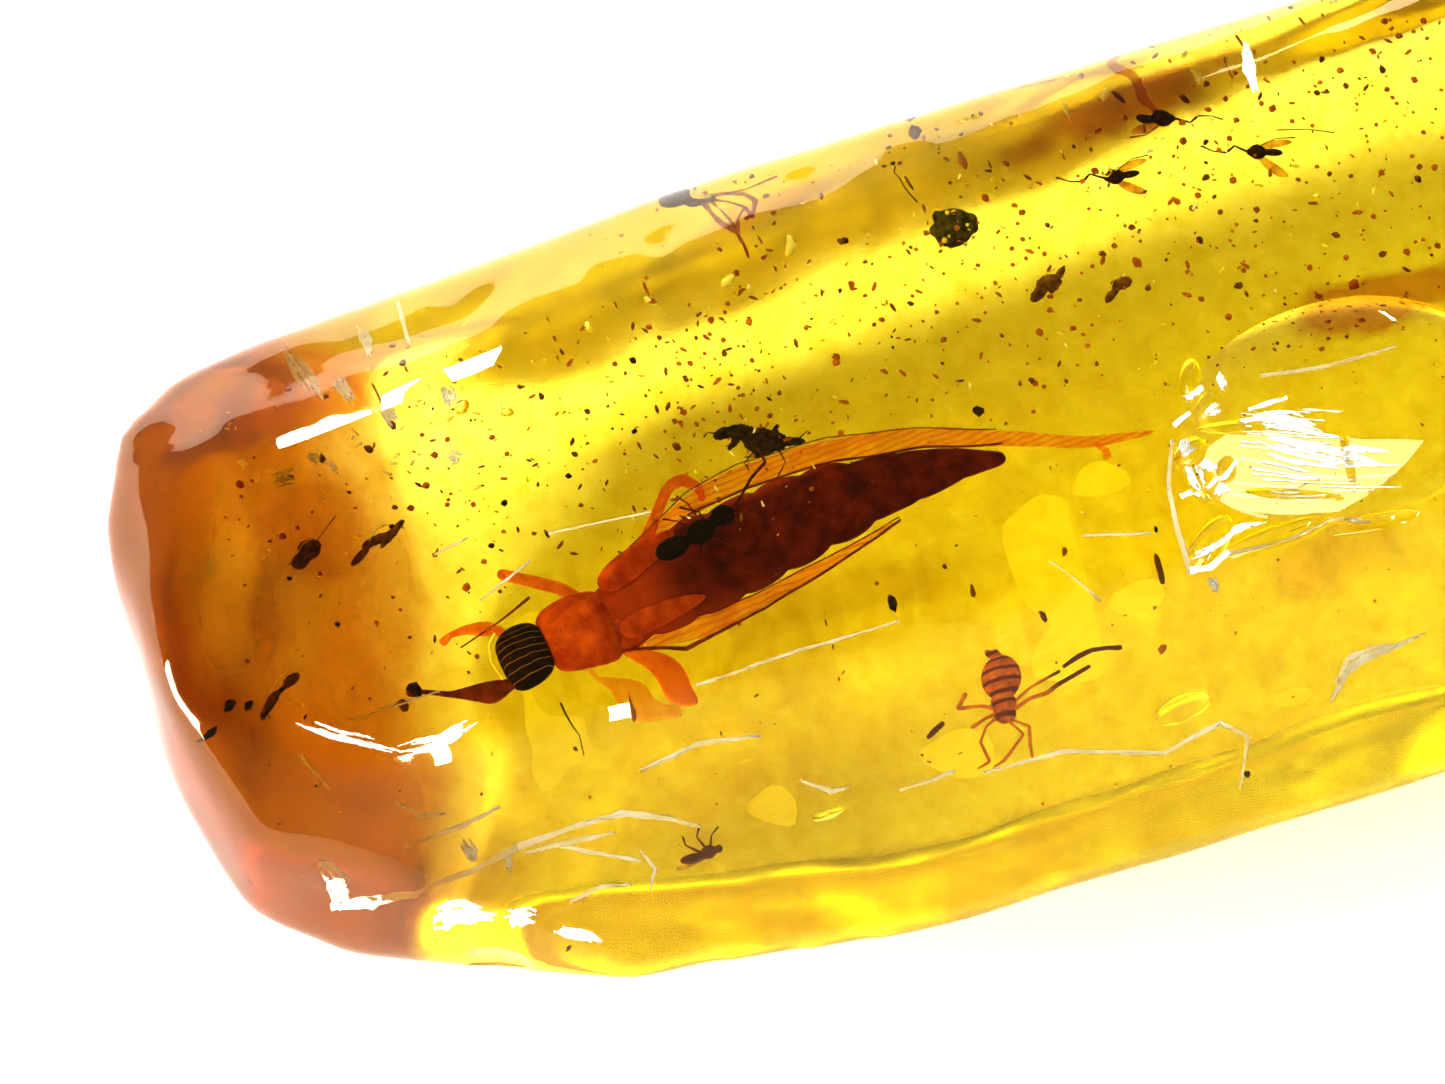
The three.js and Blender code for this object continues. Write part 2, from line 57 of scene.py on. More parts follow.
view_back = Vector((
    math.sin(VIEW_AZIMUTH) * math.cos(VIEW_ELEVATION),
    -math.cos(VIEW_AZIMUTH) * math.cos(VIEW_ELEVATION),
    math.sin(VIEW_ELEVATION),
))
deselect()
bpy.ops.object.camera_add(
    location=VIEW_AIM + view_back * VIEW_DISTANCE,
    rotation=(math.pi / 2 - VIEW_ELEVATION, 0, VIEW_AZIMUTH),
)
camera = bpy.context.object
camera.data.sensor_width = 36
camera.data.lens = 36 * VIEW_DISTANCE / VIEW_WIDTH
camera.data.clip_start = 5 * mm
camera.data.dof.use_dof = False
bpy.context.scene.camera = camera

BOARD_WHITE = (0.94, 0.94, 0.935, 1)
deselect()
bpy.ops.mesh.primitive_plane_add(size=1.6, location=(0, 0, -0.02 * mm))
board = bpy.context.object
board.name = "white_board"
board_paint = bpy.data.materials.new("white_board")
board_paint.use_nodes = True
board_shader = board_paint.node_tree.nodes["Principled BSDF"]
board_shader.inputs["Base Color"].default_value = BOARD_WHITE
board_shader.inputs["Roughness"].default_value = 0.8
board.data.materials.append(board_paint)


def lamp(name, direction, size, power, distance=0.8):
    """A rectangular soft lamp that shines at the middle of the piece."""
    place = Vector(direction).normalized() * distance
    deselect()
    bpy.ops.object.light_add(
        type="AREA", location=place, rotation=place.to_track_quat("Z", "Y").to_euler()
    )
    made = bpy.context.object
    made.name = name
    made.data.shape = "RECTANGLE"
    made.data.size, made.data.size_y = size
    made.data.energy = power


lamp("window_on_the_left", (-0.98, 0, 0.21), (0.6, 0.3), 20)
lamp("lamp_behind", (-0.01, 0.77, 0.64), (0.04, 0.3), 3.6)
lamp("lamp_behind_on_the_right", (0.54, 0.54, 0.64), (0.5, 0.4), 6)
lamp("lamp_by_viewer", (-0.03, -0.77, 0.64), (0.025, 0.3), 1.8)

SKY_AT_THE_TOP, BRIGHT_SIDE, DIM_SIDE = 0.15, 1.1, 0.3
BRIGHT_DIRECTION = (0.8, -0.6, 0)
sky = bpy.data.worlds.new("soft_daylight")
sky.use_nodes = True
sky_nodes, sky_links = sky.node_tree.nodes, sky.node_tree.links
sky_place = sky_nodes.new("ShaderNodeTexCoord")
sky_side = sky_nodes.new("ShaderNodeVectorMath")
sky_side.operation = "DOT_PRODUCT"
sky_side.inputs[1].default_value = BRIGHT_DIRECTION
sky_round = sky_nodes.new("ShaderNodeMapRange")
sky_round.interpolation_type = "SMOOTHSTEP"
sky_round.inputs["From Min"].default_value = -0.5
sky_round.inputs["From Max"].default_value = 0.5
sky_round.inputs["To Min"].default_value = DIM_SIDE
sky_round.inputs["To Max"].default_value = BRIGHT_SIDE
sky_axes = sky_nodes.new("ShaderNodeSeparateXYZ")
sky_fall = sky_nodes.new("ShaderNodeMapRange")
sky_fall.inputs["From Min"].default_value = 0.35
sky_fall.inputs["From Max"].default_value = 0.9
sky_fall.inputs["To Max"].default_value = SKY_AT_THE_TOP
sky_links.new(sky_place.outputs["Generated"], sky_side.inputs[0])
sky_links.new(sky_side.outputs["Value"], sky_round.inputs["Value"])
sky_links.new(sky_place.outputs["Generated"], sky_axes.inputs["Vector"])
sky_links.new(sky_axes.outputs["Z"], sky_fall.inputs["Value"])
sky_links.new(sky_round.outputs["Result"], sky_fall.inputs["To Min"])
sky_links.new(sky_fall.outputs["Result"], sky_nodes["Background"].inputs["Strength"])
sky_nodes["Background"].inputs["Color"].default_value = (1, 1, 1, 1)
bpy.context.scene.world = sky
bpy.context.scene.view_settings.view_transform = "Standard"
bpy.context.scene.view_settings.look = "Medium High Contrast"
bpy.context.scene.cycles.max_bounces = 18
bpy.context.scene.cycles.glossy_bounces = 14
bpy.context.scene.cycles.transmission_bounces = 18


# ---- The copal ------------------------------------------------------------------------------
# One piece of golden resin, ground flat facet by facet and polished until the edges between the
# facets are soft. Light goes far along the narrow end, which is why it is a deep orange there; that
# deep orange, and a brown at the broad end, is also painted into its colour as painted shade.
RESIN_MIDDLE = Vector((0, 0, 6.7)) * mm
# Azimuth and elevation that each ground facet faces (degrees), and a point of it (mm).
RESIN_FACETS = [
    (0, -90, (0, 0, 0)),
    (-95, 87.5, (-12, 0, 13.0)),
    (98, 57, (-17, 6.3, 13.1)),
    (95, 10, (-16.4, 11.0, 10)),
    (89.5, 6, (0, 11.65, 10)),
    (-92, 42, (-15, -6.2, 12.7)),
    (-89, 6, (-3, -14.35, 6.5)),
    (-118, 8, (-18.0, -12.9, 6.5)),
    (183, 6, (-30.85, 1, 9)),
    (202, 8, (-30.1, -4.4, 8)),
    (-146, 14, (-28.6, -8.9, 7)),
    (-125, 46, (-26.4, -5.4, 12.4)),
    (165, 45, (-29.6, 2, 12.4)),
    (145, 12, (-29.8, 9.4, 10)),
    (115, 12, (-27.2, 10.2, 10)),
    (0, 8, (30.2, 0, 7)),
    (40, 15, (27, 10.5, 6)),
    (-40, 15, (27, -10.5, 6)),
    (0, 45, (27, 0, 12)),
    (153, -47, (-20.6, 1.9, 0.4)),
    (205, -48, (-25.3, -4.5, 0.6)),
    (122, -64, (-15.5, 4.3, 0)),
    (96, -60, (-8, 6.2, 0)),
    (70, -82, (-2, 2.6, 0)),
    (97, -32, (-1, 10.0, 2.6)),
    (20, -81, (8.2, -3.0, 0)),
    (-87, -51, (0, -7.5, 0)),
    (-101, -52, (-17, -6.1, 0)),
    (0, -40, (28.5, 0, 3)),
]
EDGE_ROUND = 2.2 * mm
SKIN_GRAIN = 0.28 * mm


def facet_normal(azimuth, elevation):
    """The direction that a facet faces, from its two angles in degrees."""
    turned, lifted = math.radians(azimuth), math.radians(elevation)
    return Vector((
        math.cos(turned) * math.cos(lifted), math.sin(turned) * math.cos(lifted), math.sin(lifted)
    ))


def apply_modifier(piece, kind, **settings):
    """Adds a modifier, sets it up and applies it."""
    deselect()
    piece.select_set(True)
    bpy.context.view_layer.objects.active = piece
    modifier = piece.modifiers.new(kind.lower(), kind)
    for key, value in settings.items():
        setattr(modifier, key, value)
    bpy.ops.object.modifier_apply(modifier=modifier.name)


deselect()
bpy.ops.mesh.primitive_cube_add(size=1, location=RESIN_MIDDLE, scale=(0.08, 0.05, 0.03))
copal = bpy.context.object
copal.name = "copal"
bpy.ops.object.transform_apply(location=True, rotation=True, scale=True)
for azimuth, elevation, point in RESIN_FACETS:
    bpy.ops.object.mode_set(mode="EDIT")
    bpy.ops.mesh.select_all(action="SELECT")
    bpy.ops.mesh.bisect(
        plane_co=Vector(point) * mm, plane_no=facet_normal(azimuth, elevation), use_fill=True,
        clear_outer=True, threshold=1e-6,
    )
    bpy.ops.object.mode_set(mode="OBJECT")
apply_modifier(
    copal, "BEVEL", width=EDGE_ROUND, segments=4, limit_method="ANGLE", angle_limit=math.radians(6)
)
apply_modifier(copal, "REMESH", mode="VOXEL", voxel_size=SKIN_GRAIN)
apply_modifier(copal, "SMOOTH", factor=0.5, iterations=90)
# rubbing by hand left the facets gently uneven
hand_polish = bpy.data.textures.new("hand_polish", "CLOUDS")
hand_polish.noise_scale = 3.5 * mm
hand_polish.noise_depth = 1
apply_modifier(copal, "DISPLACE", texture=hand_polish, strength=0.12 * mm, mid_level=0.5)

# The shell-shaped chip in the top face, with small crumpled hollows along its left rim, and the
# bubbles inside: each is its middle, radii and how far it is tipped and turned.
HOLLOWS = [
    ((6.3, -3.9, 13.5), (6.4, 4.1, 1.6), 8, 6),
    ((2.1, -3.6, 12.9), (0.8, 0.45, 0.5), 20, 40), ((2.2, -4.6, 12.8), (0.5, 0.8, 0.45), -15, 10),
    ((3.1, -4.3, 12.7), (0.6, 0.35, 0.4), 15, 60), ((3.2, -2.2, 12.95), (0.7, 0.4, 0.4), 0, 50),
    ((2.9, -1.3, 13.1), (0.35, 0.8, 0.4), 10, -20), ((1.7, -6.6, 12.6), (0.5, 1.2, 0.5), 5, -50),
    ((3.8, -6.9, 12.5), (1.9, 0.4, 0.4), 0, 4), ((6.9, -7.3, 12.4), (1.6, 0.35, 0.35), 0, -4),
    ((4.2, -3.0, 12.4), (1.6, 0.25, 0.3), 0, -12), ((4.6, -5.5, 12.3), (2.0, 0.22, 0.3), 0, -16),
    ((7.0, -4.6, 11.9), (0.16, 1.4, 0.25), 0, -10), ((-23.2, -12.3, 4.5), (2.6, 2.2, 4.2), 0, -22),
    ((-18.7, 6.0, 8.0), (0.3, 0.22, 0.2), 0, 30), ((-17.4, 5.5, 8.0), (0.24, 0.17, 0.15), 0, -20),
    ((3.6, 8.3, 7.4), (0.2, 0.2, 0.2), 0, 0), ((0.3, -8.9, 7.0), (1.0, 0.55, 0.12), 0, 12),
    ((-11.4, -9.2, 7.0), (0.55, 0.18, 0.12), 0, 5), ((-4.8, 5.6, 8.0), (0.13, 0.13, 0.13), 0, 0),
    ((9.6, 5.1, 8.4), (0.12, 0.12, 0.12), 0, 0), ((-14.1, 7.0, 8.6), (0.1, 0.1, 0.1), 0, 0),
]
hollows = []
for middle, radii, tipped, turned in HOLLOWS:
    deselect()
    round_steps = 64 if radii[0] > 3 else 20
    bpy.ops.mesh.primitive_uv_sphere_add(
        segments=round_steps, ring_count=round_steps // 2, radius=1, location=Vector(middle) * mm,
        rotation=(0, math.radians(tipped), math.radians(turned)), scale=Vector(radii) * mm,
    )
    hollow = bpy.context.object
    bpy.ops.object.transform_apply(location=True, rotation=True, scale=True)
    hollows.append(hollow)
for hollow in hollows:
    apply_modifier(copal, "BOOLEAN", operation="DIFFERENCE", object=hollow, solver="EXACT")
    bpy.data.objects.remove(hollow)
deselect()
copal.select_set(True)
bpy.context.view_layer.objects.active = copal
bpy.ops.object.shade_smooth_by_angle(angle=math.radians(32))

# 1 on the underside, which was only ground
unpolished = copal.data.attributes.new("unpolished", "FLOAT", "POINT")
for vertex in copal.data.vertices:
    unpolished.data[vertex.index].value = min(1, max(0, -0.2 - 2 * vertex.normal.z))

resin = bpy.data.materials.new("copal")
resin.use_nodes = True
nodes, links = resin.node_tree.nodes, resin.node_tree.links
shader = nodes["Principled BSDF"]
ground = nodes.new("ShaderNodeAttribute")
ground.attribute_name = "unpolished"
polish = nodes.new("ShaderNodeMapRange")
polish.inputs["To Min"].default_value = 0.02
polish.inputs["To Max"].default_value = 0.2
links.new(ground.outputs["Fac"], polish.inputs["Value"])
links.new(polish.outputs["Result"], shader.inputs["Roughness"])
shader.inputs["IOR"].default_value = 1.54
shader.inputs["Transmission Weight"].default_value = 1
shader.inputs["Specular Tint"].default_value = (1, 0.8, 0.5, 1)
place = nodes.new("ShaderNodeTexCoord")
axes = nodes.new("ShaderNodeSeparateXYZ")
links.new(place.outputs["Object"], axes.inputs["Vector"])
# painted shade: a deep orange brown painted at both ends of the resin, and no tint between them
painted_end_shade = nodes.new("ShaderNodeValToRGB")
painted_end_shade.color_ramp.elements[0].position = 0.0
painted_end_shade.color_ramp.elements[0].color = (0.38, 0.16, 0.01, 1)
painted_end_shade.color_ramp.elements[1].position = 1.0
painted_end_shade.color_ramp.elements[1].color = (0.4, 0.25, 0.06, 1)
for spot, colour in ((0.1, (0.44, 0.2, 0.02, 1)), (0.17, (1, 1, 1, 1)), (0.78, (1, 1, 1, 1))):
    step = painted_end_shade.color_ramp.elements.new(spot)
    step.color = colour
along = nodes.new("ShaderNodeMapRange")
along.inputs["From Min"].default_value = -30 * mm
along.inputs["From Max"].default_value = 30 * mm
links.new(axes.outputs["X"], along.inputs["Value"])
links.new(along.outputs["Result"], painted_end_shade.inputs["Fac"])

# A patch of painted shade: a soft, ragged oval in which the resin's colour is darkened.
painted_shade = bpy.data.node_groups.new("painted_shade", "ShaderNodeTree")
for socket, kind in (("Place", "Vector"), ("Middle", "Vector"), ("Radii", "Vector"), ("Turn", "Vector")):
    painted_shade.interface.new_socket(socket, in_out="INPUT", socket_type="NodeSocket" + kind)
painted_shade.interface.new_socket("Ragged", in_out="INPUT", socket_type="NodeSocketFloat")
painted_shade.interface.new_socket("Mask", in_out="OUTPUT", socket_type="NodeSocketFloat")
painted_shade_in, painted_shade_out = painted_shade.nodes.new("NodeGroupInput"), painted_shade.nodes.new("NodeGroupOutput")
painted_shade_frame = painted_shade.nodes.new("ShaderNodeMapping")
painted_shade_frame.vector_type = "TEXTURE"
painted_shade_reach = painted_shade.nodes.new("ShaderNodeVectorMath")
painted_shade_reach.operation = "LENGTH"
painted_shade_noise = painted_shade.nodes.new("ShaderNodeTexNoise")
painted_shade_noise.inputs["Scale"].default_value = 550
painted_shade_noise.inputs["Detail"].default_value = 4
painted_shade_edge = painted_shade.nodes.new("ShaderNodeMath")
painted_shade_edge.operation = "MULTIPLY_ADD"
painted_shade_mask = painted_shade.nodes.new("ShaderNodeMapRange")
painted_shade_mask.interpolation_type = "SMOOTHSTEP"
painted_shade_mask.inputs["From Min"].default_value = 1.45
painted_shade_mask.inputs["From Max"].default_value = 0.95
painted_shade.links.new(painted_shade_in.outputs["Place"], painted_shade_frame.inputs["Vector"])
painted_shade.links.new(painted_shade_in.outputs["Middle"], painted_shade_frame.inputs["Location"])
painted_shade.links.new(painted_shade_in.outputs["Turn"], painted_shade_frame.inputs["Rotation"])
painted_shade.links.new(painted_shade_in.outputs["Radii"], painted_shade_frame.inputs["Scale"])
painted_shade.links.new(painted_shade_frame.outputs["Vector"], painted_shade_reach.inputs[0])
painted_shade.links.new(painted_shade_in.outputs["Place"], painted_shade_noise.inputs["Vector"])
painted_shade.links.new(painted_shade_noise.outputs["Fac"], painted_shade_edge.inputs[0])
painted_shade.links.new(painted_shade_in.outputs["Ragged"], painted_shade_edge.inputs[1])
painted_shade.links.new(painted_shade_reach.outputs["Value"], painted_shade_edge.inputs[2])
painted_shade.links.new(painted_shade_edge.outputs["Value"], painted_shade_mask.inputs["Value"])
painted_shade.links.new(painted_shade_mask.outputs["Result"], painted_shade_out.inputs["Mask"])

# Middle, radii and turn of each patch of painted shade on the resin, and its colour: each darkens the
# resin where less light comes through it, the brown band along the back most.
PAINTED_SHADE_PATCHES = [
    ((4.2, 8.4, 12), (5.6, 1.5, 4), 8, (0.28, 0.08, 0.01)),
    ((-8.0, 8.8, 11), (3.2, 0.9, 4), 8, (0.7, 0.45, 0.08)),
    ((9.5, -0.2, 13), (4.2, 1.0, 3), -4, (0.45, 0.17, 0.03)),
    ((-13.5, 2.4, 13), (4.0, 1.3, 2), 6, (0.8, 0.74, 0.4)),
    ((-9.5, -4.9, 13), (5.0, 1.0, 3), -4, (0.76, 0.68, 0.3)),
    ((5.5, -7.8, 12), (2.9, 1.2, 3), 6, (0.8, 0.62, 0.2)),
    ((-24.2, 1.8, 13), (2.2, 2.8, 2), 20, (0.62, 0.38, 0.08)),
    ((13.2, 8.8, 12), (3.4, 1.5, 3), 8, (0.64, 0.52, 1)),
]
tinted = painted_end_shade.outputs["Color"]
for middle, radii, turned, colour in PAINTED_SHADE_PATCHES:
    patch = nodes.new("ShaderNodeGroup")
    patch.node_tree = painted_shade
    patch.inputs["Middle"].default_value = Vector(middle) * mm
    patch.inputs["Radii"].default_value = Vector(radii) * mm
    patch.inputs["Turn"].default_value = (0, 0, math.radians(turned))
    patch.inputs["Ragged"].default_value = 0.9
    mix = nodes.new("ShaderNodeMix")
    mix.data_type = "RGBA"
    mix.blend_type = "MULTIPLY"
    mix.inputs["B"].default_value = (*colour, 1)
    links.new(place.outputs["Object"], patch.inputs["Place"])
    links.new(patch.outputs["Mask"], mix.inputs["Factor"])
    links.new(tinted, mix.inputs["A"])
    tinted = mix.outputs["Result"]
grain = nodes.new("ShaderNodeTexNoise")
grain.inputs["Scale"].default_value = 900
grain.inputs["Detail"].default_value = 7
grain.inputs["Roughness"].default_value = 0.65
grain.inputs["Distortion"].default_value = 0.6
grain_mask = nodes.new("ShaderNodeMapRange")
grain_mask.inputs["From Min"].default_value = 0.42
grain_mask.inputs["From Max"].default_value = 0.68
cloudy = nodes.new("ShaderNodeMix")
cloudy.data_type = "RGBA"
cloudy.blend_type = "MULTIPLY"
cloudy.inputs["B"].default_value = (0.84, 0.76, 0.4, 1)
links.new(place.outputs["Object"], grain.inputs["Vector"])
links.new(grain.outputs["Fac"], grain_mask.inputs["Value"])
links.new(grain_mask.outputs["Result"], cloudy.inputs["Factor"])
links.new(tinted, cloudy.inputs["A"])
links.new(cloudy.outputs["Result"], shader.inputs["Base Color"])
waves = nodes.new("ShaderNodeTexNoise")
waves.inputs["Scale"].default_value = 260
waves.inputs["Detail"].default_value = 1.5
uneven = nodes.new("ShaderNodeBump")
uneven.inputs["Strength"].default_value = 0.5
uneven.inputs["Distance"].default_value = 0.08 * mm
links.new(place.outputs["Object"], waves.inputs["Vector"])
links.new(waves.outputs["Fac"], uneven.inputs["Height"])
links.new(uneven.outputs["Normal"], shader.inputs["Normal"])
absorption = nodes.new("ShaderNodeVolumeAbsorption")
absorption.inputs["Color"].default_value = (0.985, 0.93, 0.01, 1)
absorption.inputs["Density"].default_value = 200
links.new(absorption.outputs["Volume"], nodes["Material Output"].inputs["Volume"])
copal.data.materials.append(resin)
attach(copal, "root")
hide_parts("copal_lower", "copal_upper")


# ---- The long beetle ------------------------------------------------------------------------
# A ship-timber beetle with a black head, an orange thorax and a long soft abdomen of dark red
# rings. Its glassy hind wings lie folded along both sides. Millimetres; head at -x, left at +y.
BEETLE_PLACE, BEETLE_TURN = (-16.4, -1.55, 7.2), math.radians(6.7)


def finish_in_millimetres(piece, place, turn=0):
    """Brings a piece modelled in millimetres at the origin to its place in the resin."""
    deselect()
    piece.select_set(True)
    bpy.context.view_layer.objects.active = piece
    piece.scale = (mm, mm, mm)
    piece.rotation_euler = (0, 0, turn)
    piece.location = Vector(place) * mm
    bpy.ops.object.transform_apply(location=True, rotation=True, scale=True)
    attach(piece, "root")


def joined(parts, name):
    """Joins the parts of one insect in one mesh."""
    deselect()
    for part in parts:
        part.select_set(True)
    bpy.context.view_layer.objects.active = parts[0]
    bpy.ops.object.join()
    parts[0].name = name
    return parts[0]


def smooth(piece, substance):
    deselect()
    piece.select_set(True)
    bpy.context.view_layer.objects.active = piece
    bpy.ops.object.shade_smooth()
    piece.data.materials.clear()
    piece.data.materials.append(substance)
    return piece


def ringed_body(stations, substance):
    """A closed body drawn out ring by ring: each station is its middle, half width and height."""
    middle, width, height = stations[0]
    deselect()
    bpy.ops.mesh.primitive_circle_add(
        vertices=20, radius=1, fill_type="NGON", location=middle, rotation=(0, -math.pi / 2, 0)
    )
    bpy.ops.object.mode_set(mode="EDIT")
    bpy.ops.mesh.select_all(action="SELECT")
    bpy.ops.transform.resize(value=(1, width, height), center_override=middle)
    for (next_middle, next_width, next_height) in stations[1:]:
        step = Vector(next_middle) - Vector(middle)
        bpy.ops.mesh.extrude_region_move(TRANSFORM_OT_translate={"value": step})
        bpy.ops.transform.resize(
            value=(1, next_width / width, next_height / height), center_override=next_middle
        )
        middle, width, height = next_middle, next_width, next_height
    bpy.ops.mesh.select_all(action="SELECT")
    bpy.ops.mesh.normals_make_consistent(inside=False)
    bpy.ops.object.mode_set(mode="OBJECT")
    piece = bpy.context.object
    bpy.ops.object.transform_apply(location=True, rotation=True, scale=True)
    apply_modifier(piece, "SUBSURF", levels=2, render_levels=2)
    return smooth(piece, substance)


def limb(joints, radii, substance, levels=2):
    """A leg or feeler drawn out of one point, joint by joint, and given its thickness."""
    deselect()
    bpy.ops.mesh.primitive_plane_add(size=0.1, location=joints[0])
    bpy.ops.object.transform_apply(location=True, rotation=True, scale=True)
    bpy.ops.object.mode_set(mode="EDIT")
    bpy.ops.mesh.select_all(action="SELECT")
    bpy.ops.mesh.merge(type="CENTER")
    for joint, next_joint in zip(joints, joints[1:]):
        step = Vector(next_joint) - Vector(joint)
        bpy.ops.mesh.extrude_region_move(TRANSFORM_OT_translate={"value": step})
    bpy.ops.object.mode_set(mode="OBJECT")
    piece = bpy.context.object
    bpy.ops.object.modifier_add(type="SKIN")
    for point, radius in zip(piece.data.skin_vertices[0].data, radii):
        point.radius = (radius, radius)
    bpy.ops.object.modifier_apply(modifier=piece.modifiers[0].name)
    apply_modifier(piece, "SUBSURF", levels=levels, render_levels=levels)
    return smooth(piece, substance)


def tapering(joints, root, foot):
    return [root + (foot - root) * i / (len(joints) - 1) for i in range(len(joints))]


def ribbon(points, half_widths):
    """A flat strip: its first edge is drawn out along the points."""
    sides = []
    for i, point in enumerate(points):
        before, after = points[max(i - 1, 0)], points[min(i + 1, len(points) - 1)]
        along = (Vector(after) - Vector(before)).normalized()
        across = Vector((-along.y, along.x, 0)).normalized() * half_widths[i]
        sides.append((Vector(point) - across, Vector(point) + across))
    deselect()
    bpy.ops.mesh.primitive_plane_add(size=0.1)
    bpy.ops.object.mode_set(mode="EDIT")
    strip = bmesh.from_edit_mesh(bpy.context.object.data)
    strip.verts.ensure_lookup_table()
    bmesh.ops.delete(strip, geom=strip.verts[:2], context="VERTS")
    strip.verts.ensure_lookup_table()
    edge = list(strip.verts)
    for vert, place in zip(edge, sides[0]):
        vert.co = place
    for pair in sides[1:]:
        bpy.ops.mesh.select_all(action="DESELECT")
        for vert in edge:
            vert.select = True
        strip.select_flush(True)
        bmesh.update_edit_mesh(bpy.context.object.data)
        bpy.ops.mesh.extrude_region_move()
        strip = bmesh.from_edit_mesh(bpy.context.object.data)
        edge = [vert for vert in strip.verts if vert.select]
        edge.sort(key=lambda vert: (vert.co - pair[0]).length - (vert.co - pair[1]).length)
        for vert, place in zip(edge, pair):
            vert.co = place
    bpy.ops.object.mode_set(mode="OBJECT")
    return bpy.context.object


def blade(points, half_widths, thickness, substance):
    """A thin wing: a flat strip that is given a thickness."""
    piece = ribbon(points, half_widths)
    apply_modifier(piece, "SOLIDIFY", thickness=thickness, offset=0)
    apply_modifier(piece, "SUBSURF", levels=2, render_levels=2)
    return smooth(piece, substance)


mottling = bpy.data.node_groups.new("mottling", "ShaderNodeTree")
for socket, kind in (("Place", "Vector"), ("Scale", "Float"), ("Dark", "Color"), ("Light", "Color")):
    mottling.interface.new_socket(socket, in_out="INPUT", socket_type="NodeSocket" + kind)
for socket, kind in (("Colour", "Color"), ("Height", "Float")):
    mottling.interface.new_socket(socket, in_out="OUTPUT", socket_type="NodeSocket" + kind)
mottling_in = mottling.nodes.new("NodeGroupInput")
mottling_out = mottling.nodes.new("NodeGroupOutput")
mottling_noise = mottling.nodes.new("ShaderNodeTexNoise")
mottling_noise.inputs["Detail"].default_value = 5
mottling_noise.inputs["Roughness"].default_value = 0.6
mottling_mask = mottling.nodes.new("ShaderNodeMapRange")
mottling_mask.inputs["From Min"].default_value = 0.35
mottling_mask.inputs["From Max"].default_value = 0.65
mottling_mix = mottling.nodes.new("ShaderNodeMix")
mottling_mix.data_type = "RGBA"
mottling.links.new(mottling_in.outputs["Place"], mottling_noise.inputs["Vector"])
mottling.links.new(mottling_in.outputs["Scale"], mottling_noise.inputs["Scale"])
mottling.links.new(mottling_noise.outputs["Fac"], mottling_mask.inputs["Value"])
mottling.links.new(mottling_mask.outputs["Result"], mottling_mix.inputs["Factor"])
mottling.links.new(mottling_in.outputs["Dark"], mottling_mix.inputs["A"])
mottling.links.new(mottling_in.outputs["Light"], mottling_mix.inputs["B"])
mottling.links.new(mottling_mix.outputs["Result"], mottling_out.inputs["Colour"])
mottling.links.new(mottling_noise.outputs["Fac"], mottling_out.inputs["Height"])


class Chitin:
    """A skin of chitin or wood: mottled, finely uneven, and as clear as its transmission says."""

    def __init__(self, name, place, turn, dark, light, scale=3, roughness=0.5, transmission=0):
        self.material = bpy.data.materials.new(name)
        self.material.use_nodes = True
        self.nodes, self.links = self.material.node_tree.nodes, self.material.node_tree.links
        self.shader = self.nodes["Principled BSDF"]
        place_in_resin = self.nodes.new("ShaderNodeTexCoord")
        self.local = self.nodes.new("ShaderNodeMapping")
        self.local.vector_type = "TEXTURE"
        self.local.inputs["Location"].default_value = Vector(place) * mm
        self.local.inputs["Rotation"].default_value = (0, 0, turn)
        self.local.inputs["Scale"].default_value = (mm, mm, mm)
        self.mottled = self.nodes.new("ShaderNodeGroup")
        self.mottled.node_tree = mottling
        self.mottled.inputs["Scale"].default_value = scale
        self.mottled.inputs["Dark"].default_value = (*dark, 1)
        self.mottled.inputs["Light"].default_value = (*light, 1)
        relief = self.nodes.new("ShaderNodeBump")
        relief.inputs["Strength"].default_value = 0.4
        relief.inputs["Distance"].default_value = 0.05 * mm
        self.links.new(place_in_resin.outputs["Object"], self.local.inputs["Vector"])
        self.links.new(self.local.outputs["Vector"], self.mottled.inputs["Place"])
        self.links.new(self.mottled.outputs["Colour"], self.shader.inputs["Base Color"])
        self.links.new(self.mottled.outputs["Height"], relief.inputs["Height"])
        self.links.new(relief.outputs["Normal"], self.shader.inputs["Normal"])
        self.shader.inputs["Roughness"].default_value = roughness
        self.shader.inputs["Transmission Weight"].default_value = transmission
        self.shader.inputs["IOR"].default_value = 1.04
        self.colour = self.mottled.outputs["Colour"]
        self.axes = self.nodes.new("ShaderNodeSeparateXYZ")
        self.links.new(self.local.outputs["Vector"], self.axes.inputs["Vector"])

    def blend_to(self, colour, mask):
        """Mixes another colour over the skin where the mask is 1."""
        mix = self.nodes.new("ShaderNodeMix")
        mix.data_type = "RGBA"
        mix.inputs["B"].default_value = (*colour, 1)
        self.links.new(self.colour, mix.inputs["A"])
        self.links.new(mask, mix.inputs["Factor"])
        self.links.new(mix.outputs["Result"], self.shader.inputs["Base Color"])
        self.colour = mix.outputs["Result"]

    def mask(self, value, low, high):
        """A mask that rises from 0 where the value is low to 1 where it is high."""
        span = self.nodes.new("ShaderNodeMapRange")
        span.interpolation_type = "SMOOTHSTEP"
        span.inputs["From Min"].default_value = low
        span.inputs["From Max"].default_value = high
        self.links.new(value, span.inputs["Value"])
        return span.outputs["Result"]

    def from_middle(self, axis):
        """How far the skin lies from the middle along one axis, to either side."""
        step = self.nodes.new("ShaderNodeMath")
        step.operation = "ABSOLUTE"
        self.links.new(self.axes.outputs[axis], step.inputs[0])
        return step.outputs["Value"]

    def bands(self, scale, distortion):
        """Parallel lines along the body, wavy by the distortion."""
        wave = self.nodes.new("ShaderNodeTexWave")
        wave.bands_direction = "Y"
        wave.inputs["Scale"].default_value = scale
        wave.inputs["Distortion"].default_value = distortion
        wave.inputs["Detail"].default_value = 2
        self.links.new(self.local.outputs["Vector"], wave.inputs["Vector"])
        return wave.outputs["Fac"]


def beetle_skin(name, dark, light, **looks):
    return Chitin(name, BEETLE_PLACE, BEETLE_TURN, dark, light, **looks)


